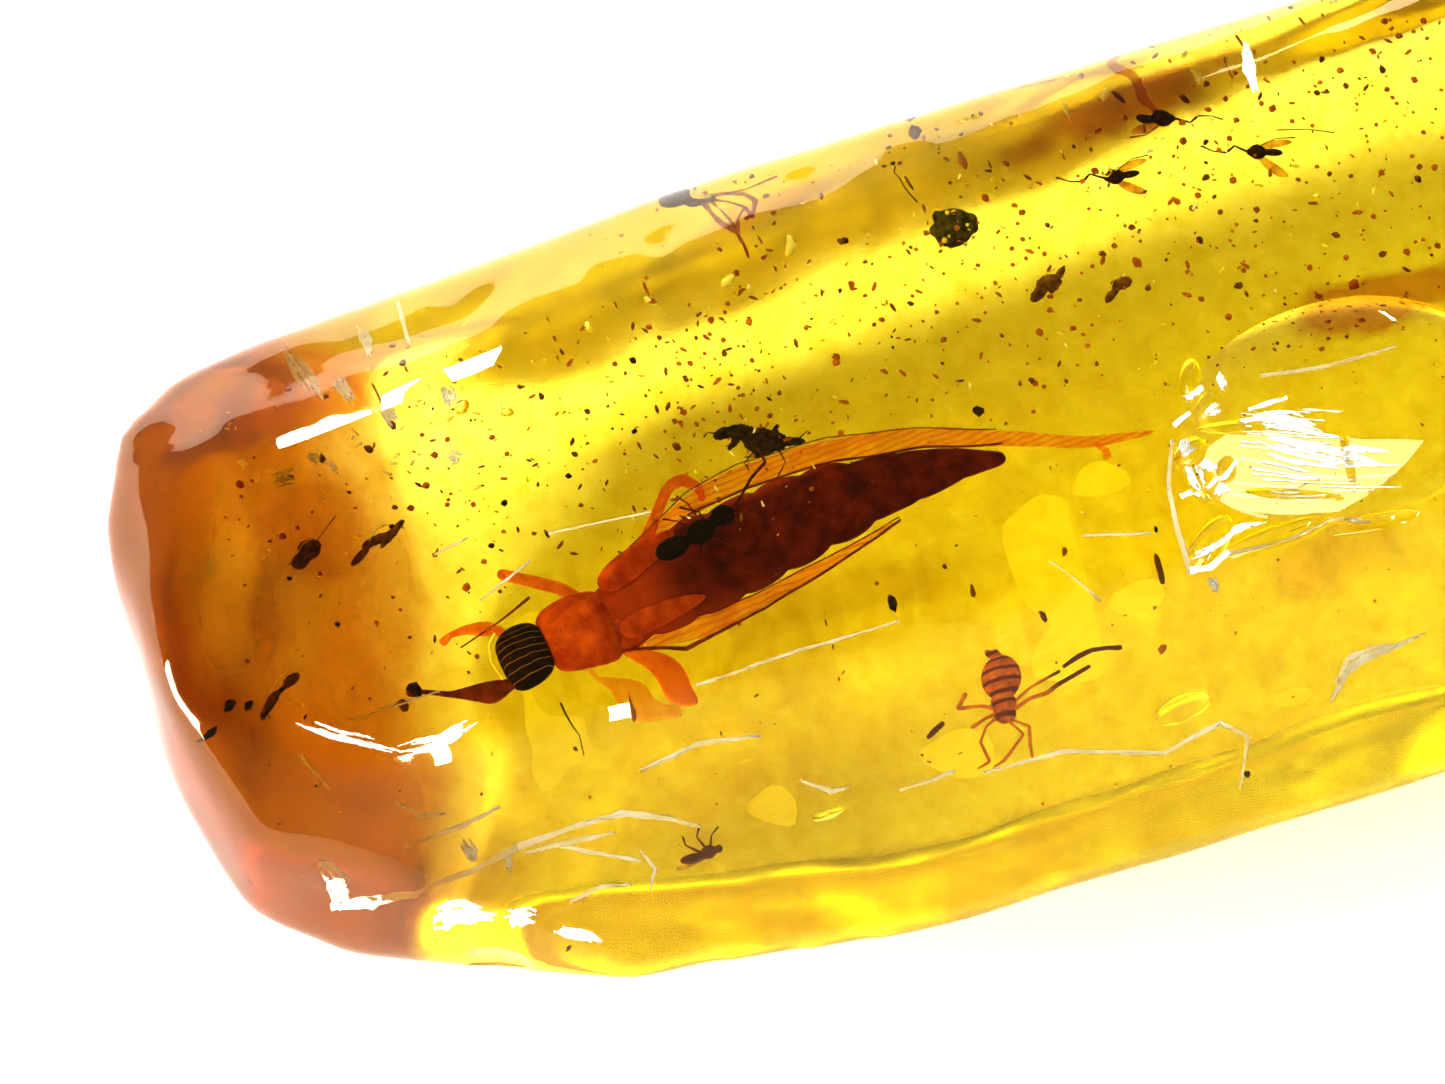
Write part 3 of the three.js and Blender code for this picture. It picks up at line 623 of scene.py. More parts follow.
abdomen_skin = beetle_skin(
    "beetle_abdomen", (0.05, 0.004, 0.001), (0.16, 0.016, 0.003), scale=1.4, transmission=0.35
)
from_middle = abdomen_skin.from_middle("Y")
# painted glow: the sides of the abdomen are painted a lighter orange red where light shines through them
abdomen_skin.blend_to((0.45, 0.07, 0.008), abdomen_skin.mask(from_middle, 1.1, 2.0))
abdomen_skin.blend_to((0.42, 0.06, 0.008), abdomen_skin.mask(abdomen_skin.axes.outputs["X"], 3.4, 0.8))
thorax_skin = beetle_skin(
    "beetle_thorax", (0.4, 0.05, 0.006), (0.8, 0.17, 0.015), scale=1.5, transmission=0.6
)
head_skin = beetle_skin("beetle_head", (0.006, 0.003, 0.002), (0.02, 0.008, 0.004))
head_lines = head_skin.bands(1.35, 2.5)
head_skin.blend_to((0.42, 0.26, 0.09), head_skin.mask(head_lines, 0.99, 1.0))
leg_skin = beetle_skin(
    "beetle_legs", (0.75, 0.16, 0.01), (0.95, 0.36, 0.03), scale=2.5, transmission=0.9, roughness=0.3
)
golden_leg_skin = beetle_skin(
    "beetle_pale_legs", (0.9, 0.5, 0.03), (1.0, 0.7, 0.08), scale=2, transmission=0.95, roughness=0.3
)
wing_skin = beetle_skin(
    "beetle_wings", (0.95, 0.42, 0.015), (1.0, 0.68, 0.06), scale=1.2, transmission=0.95, roughness=0.2
)
wing_streaks = wing_skin.bands(1.6, 3)
wing_skin.blend_to((0.8, 0.25, 0.01), wing_skin.mask(wing_streaks, 0.8, 1.0))
vein_skin = beetle_skin("beetle_veins", (0.12, 0.02, 0.004), (0.3, 0.06, 0.01), transmission=0.3)
rim_skin = beetle_skin("beetle_pale_rim", (0.8, 0.66, 0.35), (1.0, 0.9, 0.6), roughness=0.3)

# Middle, half width and half height of the abdomen at some places along it.
ABDOMEN_SHAPE = [
    (-0.4, -0.60, 1.00, 0.75), (2.0, -0.2, 1.52, 1.00), (4.0, 0.05, 1.62, 1.08),
    (6.0, 0.2, 1.56, 1.0), (8.0, 0.28, 1.32, 0.9), (10.0, 0.26, 0.98, 0.70),
    (12.0, 0.02, 0.62, 0.45), (13.8, -0.4, 0.26, 0.2),
]
ABDOMEN_RINGS = 9
RING_PROFILE = ((0.0, 0.9), (0.12, 0.99), (0.5, 1.03), (0.88, 1.0))


def abdomen_at(x):
    """The station of the abdomen at x, between the two that are given on either side of it."""
    for (x0, *low), (x1, *high) in zip(ABDOMEN_SHAPE, ABDOMEN_SHAPE[1:]):
        if x <= x1:
            share = (x - x0) / (x1 - x0)
            share = share * share * (3 - 2 * share)
            return [a + (b - a) * share for a, b in zip(low, high)]
    return ABDOMEN_SHAPE[-1][1:]


abdomen_rings = []
abdomen_length = ABDOMEN_SHAPE[-1][0] - ABDOMEN_SHAPE[0][0]
for ring in range(ABDOMEN_RINGS):
    for share, swell in RING_PROFILE:
        x = ABDOMEN_SHAPE[0][0] + abdomen_length * (ring + share) / ABDOMEN_RINGS
        y, width, height = abdomen_at(x)
        abdomen_rings.append(((x, y, 0), width * swell, height * swell))
abdomen_rings.append(((ABDOMEN_SHAPE[-1][0], ABDOMEN_SHAPE[-1][1], 0), 0.12, 0.12))

UPPER_WING = [
    (0.8, 0.9, 0.1), (4.0, 2.1, 0.15), (5.8, 2.24, 0.15), (8.8, 1.95, 0.1), (11.5, 1.2, 0.05),
    (13.9, 0.3, 0), (15.5, -0.65, 0), (17.0, -1.2, 0), (18.6, -1.55, 0),
]
UPPER_WING_WIDTHS = [0.2, 0.36, 0.46, 0.46, 0.38, 0.28, 0.24, 0.22, 0.06]
LOWER_WING = [(-0.4, -1.3, 0), (1.9, -1.9, 0), (4.7, -1.85, 0), (7.2, -1.5, 0), (9.8, -1.0, 0)]
LOWER_WING_WIDTHS = [0.18, 0.34, 0.3, 0.18, 0.05]


def beside(points, widths, share):
    """The line that runs beside a wing's middle at a share of its half width."""
    return [(x, y + width * share, z + 0.06) for (x, y, z), width in zip(points, widths)]


beetle_parts = [
    ringed_body(abdomen_rings, abdomen_skin.material),
    ringed_body([
        ((-2.1, -0.5, 0), 0.7, 0.5), ((-1.9, -0.48, 0), 1.0, 0.72), ((-1.2, -0.45, 0.05), 1.14, 0.85),
        ((-0.5, -0.55, 0.05), 1.2, 0.92), ((-0.05, -0.62, 0.05), 1.18, 0.88), ((0.05, -0.62, 0), 1.0, 0.75),
        ((0.15, -0.62, 0), 1.1, 0.8), ((0.7, -0.6, 0), 1.15, 0.8), ((1.4, -0.4, 0), 1.0, 0.7),
    ], thorax_skin.material),
    ringed_body([
        ((-3.62, -0.7, -0.05), 0.5, 0.3), ((-3.45, -0.6, 0), 0.82, 0.56), ((-3.0, -0.52, 0.05), 0.98, 0.74),
        ((-2.5, -0.5, 0.05), 0.96, 0.76), ((-2.1, -0.5, 0), 0.8, 0.62), ((-1.95, -0.5, 0), 0.5, 0.4),
    ], head_skin.material),
    # the pale film round the front of the head
    limb([(-2.6, 0.72, 0.1), (-3.2, 0.6, 0.1), (-3.7, 0.1, 0.1), (-3.85, -0.5, 0.1), (-3.75, -1.1, 0.1)],
         [0.02, 0.05, 0.06, 0.05, 0.02], rim_skin.material),
    # wing cases, short and parted
    blade([(0.0, 0.3, 0.75), (1.6, 0.75, 1.02), (3.2, 1.2, 0.95)], [0.5, 0.6, 0.12], 0.06,
          thorax_skin.material),
    blade([(0.0, -1.3, 0.75), (1.6, -1.3, 0.98), (3.2, -1.3, 0.95)], [0.45, 0.5, 0.12], 0.06,
          thorax_skin.material),
    # hind wings with their veins
    blade(UPPER_WING, UPPER_WING_WIDTHS, 0.16, wing_skin.material),
    blade(LOWER_WING, LOWER_WING_WIDTHS, 0.16, wing_skin.material),
    limb([(16.6, -1.1, 0), (16.8, -1.5, 0), (16.7, -1.8, 0)], [0.1, 0.17, 0.12], wing_skin.material),
]
for share, thickness in ((-0.95, 0.045), (0.92, 0.025)):
    line = beside(UPPER_WING[:6], UPPER_WING_WIDTHS, share)
    beetle_parts.append(limb(line, [thickness] * 6, vein_skin.material, levels=1))
    line = beside(LOWER_WING, LOWER_WING_WIDTHS, share)
    beetle_parts.append(limb(line, [thickness] * 5, vein_skin.material, levels=1))
beetle_parts += [
    # left fore and middle legs
    limb([(-0.5, 0.4, 0), (-0.9, 0.95, 0.05), (-1.7, 1.6, 0.1), (-2.6, 2.3, 0.1)], [0.2, 0.2, 0.23, 0.25],
         leg_skin.material),
    limb([(1.7, 1.0, 0.1), (2.8, 2.1, 0.15), (3.6, 2.9, 0.1), (4.1, 2.95, 0.1), (4.5, 2.4, 0), (4.4, 2.0, 0)],
         [0.24, 0.25, 0.22, 0.2, 0.16, 0.1], leg_skin.material),
    limb([(3.7, 2.5, 0.1), (3.95, 2.1, 0.1), (4.0, 1.6, 0.2)], [0.04, 0.05, 0.03], vein_skin.material),
    # right legs: a leaf-shaped thigh and a paler shin
    limb([(-0.1, -1.4, 0), (0.4, -1.85, 0.05), (0.9, -2.2, 0.05), (1.4, -2.45, 0), (1.8, -2.65, 0)],
         [0.1, 0.2, 0.23, 0.2, 0.06], leg_skin.material),
    limb([(-1.3, -1.3, -0.1), (-0.9, -1.9, -0.1), (0.1, -2.35, -0.1), (1.2, -2.65, -0.1)],
         [0.1, 0.13, 0.15, 0.05], golden_leg_skin.material),
    # feelers with their thicker ends, and the dark line that runs back from the left one
    limb([(-3.0, 0.3, 0), (-3.5, 0.75, 0), (-4.2, 0.95, 0), (-4.7, 0.95, 0), (-5.1, 0.75, 0)],
         [0.1, 0.1, 0.16, 0.32, 0.2], leg_skin.material),
    limb([(-3.3, -1.2, 0), (-4.2, -1.2, 0), (-5.4, -0.85, 0), (-6.2, -0.45, 0), (-6.7, -0.25, 0)],
         [0.08, 0.07, 0.08, 0.28, 0.22], vein_skin.material),
    limb([(-4.6, 0.35, 0.2), (-3.3, 0.7, 0.2), (-1.9, 1.05, 0.2)], [0.03, 0.06, 0.03], vein_skin.material),
]
beetle = joined(beetle_parts, "long_beetle")
finish_in_millimetres(beetle, BEETLE_PLACE, BEETLE_TURN)
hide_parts("long_beetle")


# ---- The black ant --------------------------------------------------------------------------
# A small black ant over the beetle's back: three round parts in a row and thin bent legs. Its
# body is modelled as beads and run together.
ANT_PLACE = (-12.85, -0.7, 9.2)


def bead_body(beads, substance, grain=0.05, rounds=6):
    """Egg-shaped beads run together in one skin: each bead is its middle, radii and turn."""
    beaded = []
    for middle, radii, turned in beads:
        deselect()
        bpy.ops.mesh.primitive_uv_sphere_add(segments=24, ring_count=14, radius=1, location=middle)
        bead = bpy.context.object
        bead.scale = radii
        bead.rotation_euler = (0, 0, math.radians(turned))
        bpy.ops.object.transform_apply(location=True, rotation=True, scale=True)
        beaded.append(bead)
    piece = joined(beaded, "body")
    apply_modifier(piece, "REMESH", mode="VOXEL", voxel_size=grain)
    apply_modifier(piece, "SMOOTH", factor=0.5, iterations=rounds)
    return smooth(piece, substance)


ant_skin = Chitin("ant_black", ANT_PLACE, 0, (0.004, 0.003, 0.003), (0.015, 0.007, 0.004), roughness=0.4)
ant_leg_skin = Chitin("ant_legs", ANT_PLACE, 0, (0.04, 0.008, 0.003), (0.12, 0.02, 0.005), transmission=0.2)
ant = joined([
    bead_body([
        ((-0.98, -0.2, 0), (0.6, 0.37, 0.34), 8), ((-0.4, -0.05, 0), (0.22, 0.15, 0.15), 15),
        ((0.05, 0.08, 0), (0.5, 0.4, 0.36), 25), ((0.45, 0.25, 0), (0.25, 0.22, 0.22), 25),
        ((0.85, 0.42, 0), (0.38, 0.36, 0.3), 20),
    ], ant_skin.material),
    limb([(1.1, 0.5, 0.1), (1.45, 0.75, 0.1), (2.05, 1.35, 0.05), (2.65, 1.75, 0), (2.55, 2.2, 0)],
         [0.06, 0.06, 0.055, 0.045, 0.02], ant_leg_skin.material),
    limb([(1.0, 0.3, 0), (1.5, 0.25, 0), (2.0, 0.45, 0)], [0.05, 0.045, 0.03], ant_leg_skin.material),
    limb([(0.3, 0.2, 0), (0.2, 0.75, -0.05), (-0.35, 1.1, 0)], [0.06, 0.05, 0.025], ant_leg_skin.material),
    limb([(0.2, -0.1, 0), (0.9, -0.7, -0.05), (0.6, -1.3, 0)], [0.06, 0.05, 0.025], ant_leg_skin.material),
    limb([(-0.1, 0.2, 0), (-0.55, 0.65, -0.05), (-1.0, 0.85, 0)], [0.05, 0.045, 0.02], ant_leg_skin.material),
    limb([(0.0, -0.1, 0), (-0.2, -0.75, -0.05), (-0.7, -1.0, 0)], [0.05, 0.045, 0.02], ant_leg_skin.material),
], "black_ant")
finish_in_millimetres(ant, ANT_PLACE)
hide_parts("black_ant")


# ---- The small spider -----------------------------------------------------------------------
# A reddish spider with an egg-shaped, darkly banded abdomen, spinnerets behind it and long bent
# legs, dark at their ends. A lost piece of leg lies beside it.
SPIDER_PLACE = (-5.25, -7.3, 7.2)
spider_skin = Chitin(
    "spider_red", SPIDER_PLACE, 0, (0.35, 0.05, 0.008), (0.75, 0.2, 0.02), scale=3, transmission=0.3
)
spider_bands = spider_skin.bands(0.75, 3)
spider_skin.blend_to((0.12, 0.012, 0.003), spider_skin.mask(spider_bands, 0.65, 0.85))
spider_leg_skin = Chitin(
    "spider_legs", SPIDER_PLACE, 0, (0.45, 0.1, 0.01), (0.7, 0.25, 0.02), scale=2, transmission=0.5
)
outward = spider_leg_skin.from_middle("X")
spider_leg_skin.blend_to((0.1, 0.015, 0.004), spider_leg_skin.mask(outward, 1.3, 2.0))
# Joints of each leg and its thickness at the root and the foot.
SPIDER_LEGS = [
    ([(-0.1, 0.15, 0), (-0.6, 0.35, 0.1), (-1.35, 0.5, 0.05), (-0.9, 1.05, 0)], 0.1, 0.06),
    ([(-0.1, 0, 0), (-0.6, -0.15, 0.1), (-1.1, -0.3, 0)], 0.09, 0.05),
    ([(-0.1, -0.1, 0), (-0.65, -0.45, 0.1), (-0.95, -0.9, 0), (-0.85, -1.7, 0), (-1.3, -1.85, 0)],
     0.07, 0.03),
    ([(0, -0.25, 0), (0.25, -0.8, 0.1), (0.4, -1.05, 0), (-0.4, -1.8, 0), (-0.8, -1.95, 0)], 0.07, 0.03),
    ([(0.1, -0.25, 0), (0.35, -0.6, 0.1), (0.65, -0.8, 0), (0.5, -1.5, 0), (0.45, -2.1, 0)], 0.08, 0.03),
    ([(0.2, -0.1, 0), (0.9, 0.15, 0.1), (1.5, 0.2, 0.1), (1.85, 0.45, 0), (3.1, 0.85, 0)], 0.08, 0.07),
    ([(0.3, 0.15, 0), (1.0, 0.55, 0.1), (1.6, 0.75, 0.1), (2.1, 0.95, 0)], 0.06, 0.05),
    ([(2.2, 1.05, 0), (2.8, 1.3, 0), (3.3, 1.42, 0), (3.8, 1.35, 0), (4.25, 1.2, 0)], 0.06, 0.1),
    ([(-2.5, -0.2, 0), (-2.2, 0.0, 0), (-1.85, 0.2, 0)], 0.07, 0.11),
]
spider = joined([
    bead_body([
        ((0.3, 1.3, 0), (0.62, 0.86, 0.52), -12), ((0.42, 2.15, 0), (0.14, 0.3, 0.14), 10),
        ((0.22, 2.3, 0), (0.12, 0.25, 0.12), 35), ((0.12, 0.3, 0), (0.4, 0.42, 0.3), 0),
        ((0.05, -0.1, 0), (0.36, 0.36, 0.26), 0),
    ], spider_skin.material, grain=0.045, rounds=4),
    *(limb(joints, tapering(joints, root, foot), spider_leg_skin.material)
      for joints, root, foot in SPIDER_LEGS),
], "small_spider")
finish_in_millimetres(spider, SPIDER_PLACE)
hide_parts("small_spider")


# ---- The midge ------------------------------------------------------------------------------
# A tiny dark midge near the front edge, on its side with its legs up and one wing trailing.
MIDGE_PLACE = (-15.55, -9.35, 6.9)
midge_skin = Chitin("midge_dark", MIDGE_PLACE, 0, (0.03, 0.008, 0.003), (0.14, 0.03, 0.006), scale=4)
small_wing_skin = Chitin(
    "small_wings", MIDGE_PLACE, 0, (0.6, 0.35, 0.08), (0.95, 0.75, 0.35), scale=3, transmission=0.9,
    roughness=0.25,
)
midge = joined([
    bead_body([
        ((-0.3, -0.03, 0), (0.42, 0.17, 0.17), -5), ((0.22, 0.04, 0.02), (0.26, 0.22, 0.24), 0),
        ((0.55, 0.07, 0), (0.14, 0.14, 0.14), 0),
    ], midge_skin.material, grain=0.04, rounds=4),
    blade([(0.2, -0.05, 0.1), (-0.4, -0.22, 0.08), (-0.95, -0.3, 0.05)], [0.06, 0.2, 0.08], 0.03,
          small_wing_skin.material),
    limb([(0.2, 0.15, 0), (0.0, 0.7, 0.05), (0.2, 1.15, 0)], [0.05, 0.04, 0.025], midge_skin.material),
    limb([(0.3, 0.15, 0), (0.45, 0.6, 0.05), (0.75, 0.9, 0)], [0.05, 0.04, 0.025], midge_skin.material),
    limb([(0.0, 0.1, 0), (-0.4, 0.5, 0.05), (-0.4, 0.9, 0)], [0.05, 0.04, 0.025], midge_skin.material),
], "midge")
finish_in_millimetres(midge, MIDGE_PLACE)
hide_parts("midge")


# ---- The long-legged fly --------------------------------------------------------------------
# A dark fly just inside the back edge. Its amber legs hang in curves; the resin has come away
# from its chest, which leaves pale glassy flats there.
FLY_PLACE = (-9.35, 10.5, 7.2)
fly_skin = Chitin("fly_dark", FLY_PLACE, 0, (0.03, 0.012, 0.006), (0.12, 0.05, 0.02), scale=3)
fly_leg_skin = Chitin(
    "fly_legs", FLY_PLACE, 0, (0.25, 0.07, 0.01), (0.55, 0.2, 0.03), scale=3, transmission=0.4
)
fly_flat_skin = Chitin("fly_pale_flats", FLY_PLACE, 0, (0.75, 0.5, 0.32), (1.0, 0.85, 0.7), roughness=0.3)
fly = joined([
    bead_body([
        ((-0.45, 0.12, 0), (0.6, 0.3, 0.28), -12), ((0.2, -0.15, 0), (0.4, 0.32, 0.34), -15),
        ((0.65, -0.3, 0), (0.2, 0.2, 0.2), 0),
    ], fly_skin.material, rounds=4),
    blade([(0.0, 0.1, 0.36), (0.35, -0.05, 0.38), (0.7, -0.2, 0.3)], [0.12, 0.2, 0.06], 0.05,
          fly_flat_skin.material),
    blade([(1.15, -0.3, 0.1), (1.45, -0.45, 0.12), (1.7, -0.6, 0.08)], [0.05, 0.16, 0.05], 0.05,
          fly_flat_skin.material),
    blade([(0.75, -0.75, 0.1), (0.95, -0.95, 0.12), (1.1, -1.15, 0.08)], [0.05, 0.14, 0.05], 0.05,
          fly_flat_skin.material),
    limb([(0.5, -0.15, 0), (1.2, -0.25, 0.1), (1.75, -0.55, 0.1), (2.0, -1.1, 0), (1.75, -1.75, 0)],
         [0.12, 0.11, 0.09, 0.08, 0.05], fly_leg_skin.material),
    limb([(0.6, -0.3, 0), (1.1, -0.65, 0.1), (1.6, -1.25, 0.05), (1.75, -1.85, 0)], [0.1, 0.1, 0.07, 0.04],
         fly_leg_skin.material),
    limb([(0.4, -0.4, 0), (0.5, -1.0, 0.1), (0.7, -1.7, 0), (1.05, -2.2, 0), (1.25, -1.7, 0), (1.6, -1.3, 0)],
         [0.12, 0.13, 0.11, 0.07, 0.05, 0.04], fly_leg_skin.material),
    limb([(0.6, -0.3, 0), (0.8, -0.9, 0), (1.0, -1.6, 0), (1.05, -2.4, 0)], [0.08, 0.07, 0.06, 0.03],
         fly_leg_skin.material),
    limb([(1.1, -0.3, 0.1), (1.9, -0.35, 0.1), (3.0, -0.15, 0)], [0.09, 0.07, 0.03], fly_leg_skin.material),
], "long_legged_fly")
finish_in_millimetres(fly, FLY_PLACE)
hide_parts("long_legged_fly")


# ---- The gnats ------------------------------------------------------------------------------
# Three gnats near the back, each a black bead of a body with glassy wings, thin legs and a fine
# feeler. One is modelled, and the others are copies of it.
GNATS = [
    ("gnat_1", (5.9, 9.55, 7.2), -14),
    ("gnat_2", (3.9, 8.1, 7.2), 168),
    ("gnat_3", (8.6, 7.5, 7.2), 158),
]
gnat_skin = Chitin("gnat_black", GNATS[0][1], 0, (0.006, 0.004, 0.003), (0.05, 0.02, 0.01), scale=4)
gnat_wing_skin = Chitin(
    "gnat_wings", GNATS[0][1], 0, (0.45, 0.2, 0.03), (0.85, 0.55, 0.15), scale=2, transmission=0.85,
    roughness=0.25,
)
gnat_model = joined([
    bead_body([
        ((-0.4, -0.05, 0), (0.34, 0.13, 0.14), 5), ((0.08, 0, 0.03), (0.3, 0.27, 0.27), 0),
        ((0.34, 0.02, 0), (0.13, 0.13, 0.13), 0),
    ], gnat_skin.material, grain=0.04, rounds=3),
    blade([(0.1, 0.12, 0.1), (-0.35, 0.5, 0.08), (-0.95, 0.75, 0.05)], [0.05, 0.24, 0.1], 0.03,
          gnat_wing_skin.material),
    blade([(0.1, -0.1, 0.1), (-0.4, -0.35, 0.08), (-1.05, -0.5, 0.05)], [0.05, 0.2, 0.08], 0.03,
          gnat_wing_skin.material),
    limb([(0.1, -0.15, 0.1), (-0.5, -0.55, 0.08), (-1.1, -0.65, 0.05)], [0.025, 0.025, 0.015],
         gnat_skin.material),
    limb([(0.4, 0.03, 0), (0.9, -0.15, 0), (1.15, 0.1, 0)], [0.05, 0.05, 0.03], gnat_skin.material),
    limb([(1.15, 0.12, 0), (1.6, 0.1, 0), (2.0, -0.05, 0)], [0.035, 0.035, 0.02], gnat_skin.material),
], "gnat_model")
for name, place, turn in GNATS:
    gnat = gnat_model.copy()
    gnat.data = gnat_model.data.copy()
    gnat.name = name
    bpy.context.collection.objects.link(gnat)
    finish_in_millimetres(gnat, place, math.radians(turn))
    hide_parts(name)
bpy.data.objects.remove(gnat_model)


# ---- The bark and the wood crumbs -----------------------------------------------------------
# A ragged fleck of black bark, a round pellet and some splinters that stuck to the resin while
# it was soft. Millimetres, each at its own place.
bark_skin = Chitin(
    "bark_black", (-10, 2.35, 7.45), math.radians(-8), (0.004, 0.003, 0.002), (0.05, 0.028, 0.01), scale=5
)
splinter_skin = Chitin("wood_brown", (0, 0, 7.2), 0, (0.03, 0.012, 0.004), (0.2, 0.09, 0.02), scale=4)
crumb_pale_skin = Chitin("wood_pale_grain", (0, 0, 7.2), 0, (0.5, 0.4, 0.2), (0.9, 0.8, 0.5), scale=4)


def roughened(piece, amount, seed):
    """Pushes every vertex a little way at random, the same way each time."""
    deselect()
    piece.select_set(True)
    bpy.context.view_layer.objects.active = piece
    bpy.ops.object.mode_set(mode="EDIT")
    bpy.ops.mesh.select_all(action="SELECT")
    bpy.ops.transform.vertex_random(offset=amount, seed=seed)
    bpy.ops.object.mode_set(mode="OBJECT")
    return piece


bark = joined([
    roughened(bead_body([
        ((-1.05, 0.45, 0), (0.42, 0.2, 0.16), 10), ((-0.55, 0.38, 0.05), (0.5, 0.26, 0.2), -15),
        ((-0.05, 0.05, 0), (0.5, 0.42, 0.22), 20), ((0.45, -0.1, 0.05), (0.45, 0.34, 0.2), -30),
        ((0.95, -0.2, 0), (0.55, 0.16, 0.12), -8), ((0.1, -0.42, 0), (0.5, 0.14, 0.12), 14),
        ((-0.85, 0.02, 0), (0.3, 0.12, 0.1), 40), ((0.5, 0.25, 0), (0.3, 0.1, 0.1), 60),
    ], bark_skin.material, grain=0.06, rounds=2), 0.05, 3),
    limb([(-0.2, -0.3, 0), (-0.6, -0.7, 0), (-0.5, -1.0, 0)], [0.04, 0.03, 0.015], bark_skin.material),
    limb([(0.5, -0.3, 0), (0.7, -0.9, 0), (0.35, -1.4, -0.1)], [0.04, 0.035, 0.015], bark_skin.material),
    limb([(1.2, -0.2, 0), (1.6, 0.1, 0)], [0.04, 0.015], bark_skin.material),
    limb([(-1.1, 0.4, 0), (-1.6, 0.55, 0), (-1.75, 0.4, 0)], [0.05, 0.035, 0.015], bark_skin.material),
], "bark_fleck")
finish_in_millimetres(bark, (-10, 2.35, 7.45), math.radians(-8))
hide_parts("bark_fleck")

pellet_skin = Chitin(
    "pellet_green_black", (-1.75, 7.75, 7.2), 0, (0.01, 0.01, 0.004), (0.09, 0.08, 0.02), scale=3.5
)
rolls = random.Random(5)
pellet_knobs, pellet_grains = [((0, 0, 0), (0.7, 0.62, 0.5), 20)], []
for knob in range(26):
    round_it, up = rolls.uniform(0, 2 * math.pi), rolls.uniform(-0.5, 0.9)
    ring = math.sqrt(1 - up * up)
    spot = (0.62 * ring * math.cos(round_it), 0.54 * ring * math.sin(round_it), 0.42 * up)
    if knob % 3:
        pellet_knobs.append((spot, (rolls.uniform(0.12, 0.24),) * 3, 0))
    else:
        deselect()
        bpy.ops.mesh.primitive_ico_sphere_add(
            subdivisions=2, radius=rolls.uniform(0.05, 0.1), location=Vector(spot) * 1.22
        )
        bpy.ops.object.transform_apply(location=True, rotation=True, scale=True)
        pellet_grains.append(smooth(roughened(bpy.context.object, 0.02, knob), crumb_pale_skin.material))
pellet = joined(
    [bead_body(pellet_knobs, pellet_skin.material, grain=0.05, rounds=2)] + pellet_grains, "seed_pellet"
)
finish_in_millimetres(pellet, (-1.75, 7.75, 7.2))
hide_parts("seed_pellet")

# Name, place, turn, beads and seed of each splinter.
SPLINTERS = [
    ("wood_crumb_1", (0.5, 5.0, 7.2), 22, [
        ((-0.45, -0.05, 0), (0.35, 0.2, 0.15), 10), ((0.0, 0.05, 0), (0.4, 0.28, 0.2), -20),
        ((0.5, 0.05, 0), (0.35, 0.13, 0.1), 25), ((0.1, -0.25, 0), (0.3, 0.08, 0.08), 10)]),
    ("wood_crumb_2", (2.6, 4.2, 7.2), 24, [
        ((-0.3, 0, 0), (0.4, 0.14, 0.13), 12), ((0.25, 0.05, 0), (0.35, 0.2, 0.16), -10),
        ((0.0, 0.18, 0), (0.15, 0.15, 0.1), 0)]),
    ("dark_spindle", (-26.6, -1.35, 7.2), 25, [
        ((-0.35, -0.03, 0), (0.3, 0.15, 0.13), 10), ((0.02, 0, 0), (0.2, 0.07, 0.07), 0),
        ((0.4, 0.04, 0), (0.3, 0.17, 0.14), 5)]),
    ("wood_smear_1", (-24.7, 2.8, 7.2), 20, [
        ((-0.3, -0.1, 0), (0.35, 0.25, 0.12), 20), ((0.2, 0.1, 0), (0.4, 0.3, 0.12), -20),
        ((0.1, -0.2, 0), (0.3, 0.1, 0.08), 0)]),
    ("wood_smear_2", (-22.4, 2.6, 7.2), 20, [
        ((-0.8, -0.1, 0), (0.4, 0.14, 0.08), 10), ((-0.1, 0.05, 0), (0.5, 0.16, 0.1), -8),
        ((0.6, 0.0, 0), (0.45, 0.13, 0.08), 14), ((0.2, -0.2, 0), (0.4, 0.06, 0.06), 5)]),
]
for seed, (name, spot, turned, beads) in enumerate(SPLINTERS):
    splinter = joined([
        roughened(bead_body(beads, splinter_skin.material, grain=0.05, rounds=2), 0.035, seed),
        limb([(-0.3, 0.1, 0.1), (0.1, 0.3, 0.12), (0.5, 0.28, 0.1)], [0.02, 0.035, 0.015],
             crumb_pale_skin.material),
    ], name)
    finish_in_millimetres(splinter, spot, math.radians(turned))
    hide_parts(name)


# ---- The specks in the resin ----------------------------------------------------------------
# Dust, frass and bits of bark, from pinpoints to a fifth of a millimetre, thickest along the
# back; pale flakes of older resin; and the black ball, sliver and splinters that stand out.
def inside_resin(spot, depth):
    """True where a place in millimetres is at least this deep inside the facets."""
    for azimuth, elevation, point in RESIN_FACETS:
        if (spot - Vector(point)).dot(facet_normal(azimuth, elevation)) > -depth:
            return False
    return True


speck_brown_skin = Chitin("speck_brown", (0, 0, 0), 0, (0.05, 0.018, 0.004), (0.28, 0.11, 0.02), scale=1)
speck_orange_skin = Chitin(
    "speck_orange", (0, 0, 0), 0, (0.3, 0.08, 0.006), (0.6, 0.2, 0.02), scale=1, transmission=0.4
)
flake_skin = Chitin(
    "old_resin_flake", (0, 0, 0), 0, (0.85, 0.78, 0.5), (1, 0.95, 0.75), scale=1, transmission=0.25
)
speck_kinds = []
for seed, (material, radii) in enumerate([
    (speck_brown_skin.material, (1, 0.8, 0.7)), (speck_brown_skin.material, (1.4, 0.5, 0.5)),
    (speck_orange_skin.material, (1, 0.75, 0.6)), (speck_orange_skin.material, (1.5, 0.45, 0.4)),
    (flake_skin.material, (1.2, 0.5, 0.2)), (bark_skin.material, (1, 0.85, 0.8)),
]):
    deselect()
    bpy.ops.mesh.primitive_ico_sphere_add(subdivisions=1, radius=1, scale=radii)
    bpy.ops.object.transform_apply(location=True, rotation=True, scale=True)
    speck_kinds.append(smooth(roughened(bpy.context.object, 0.35, seed), material))

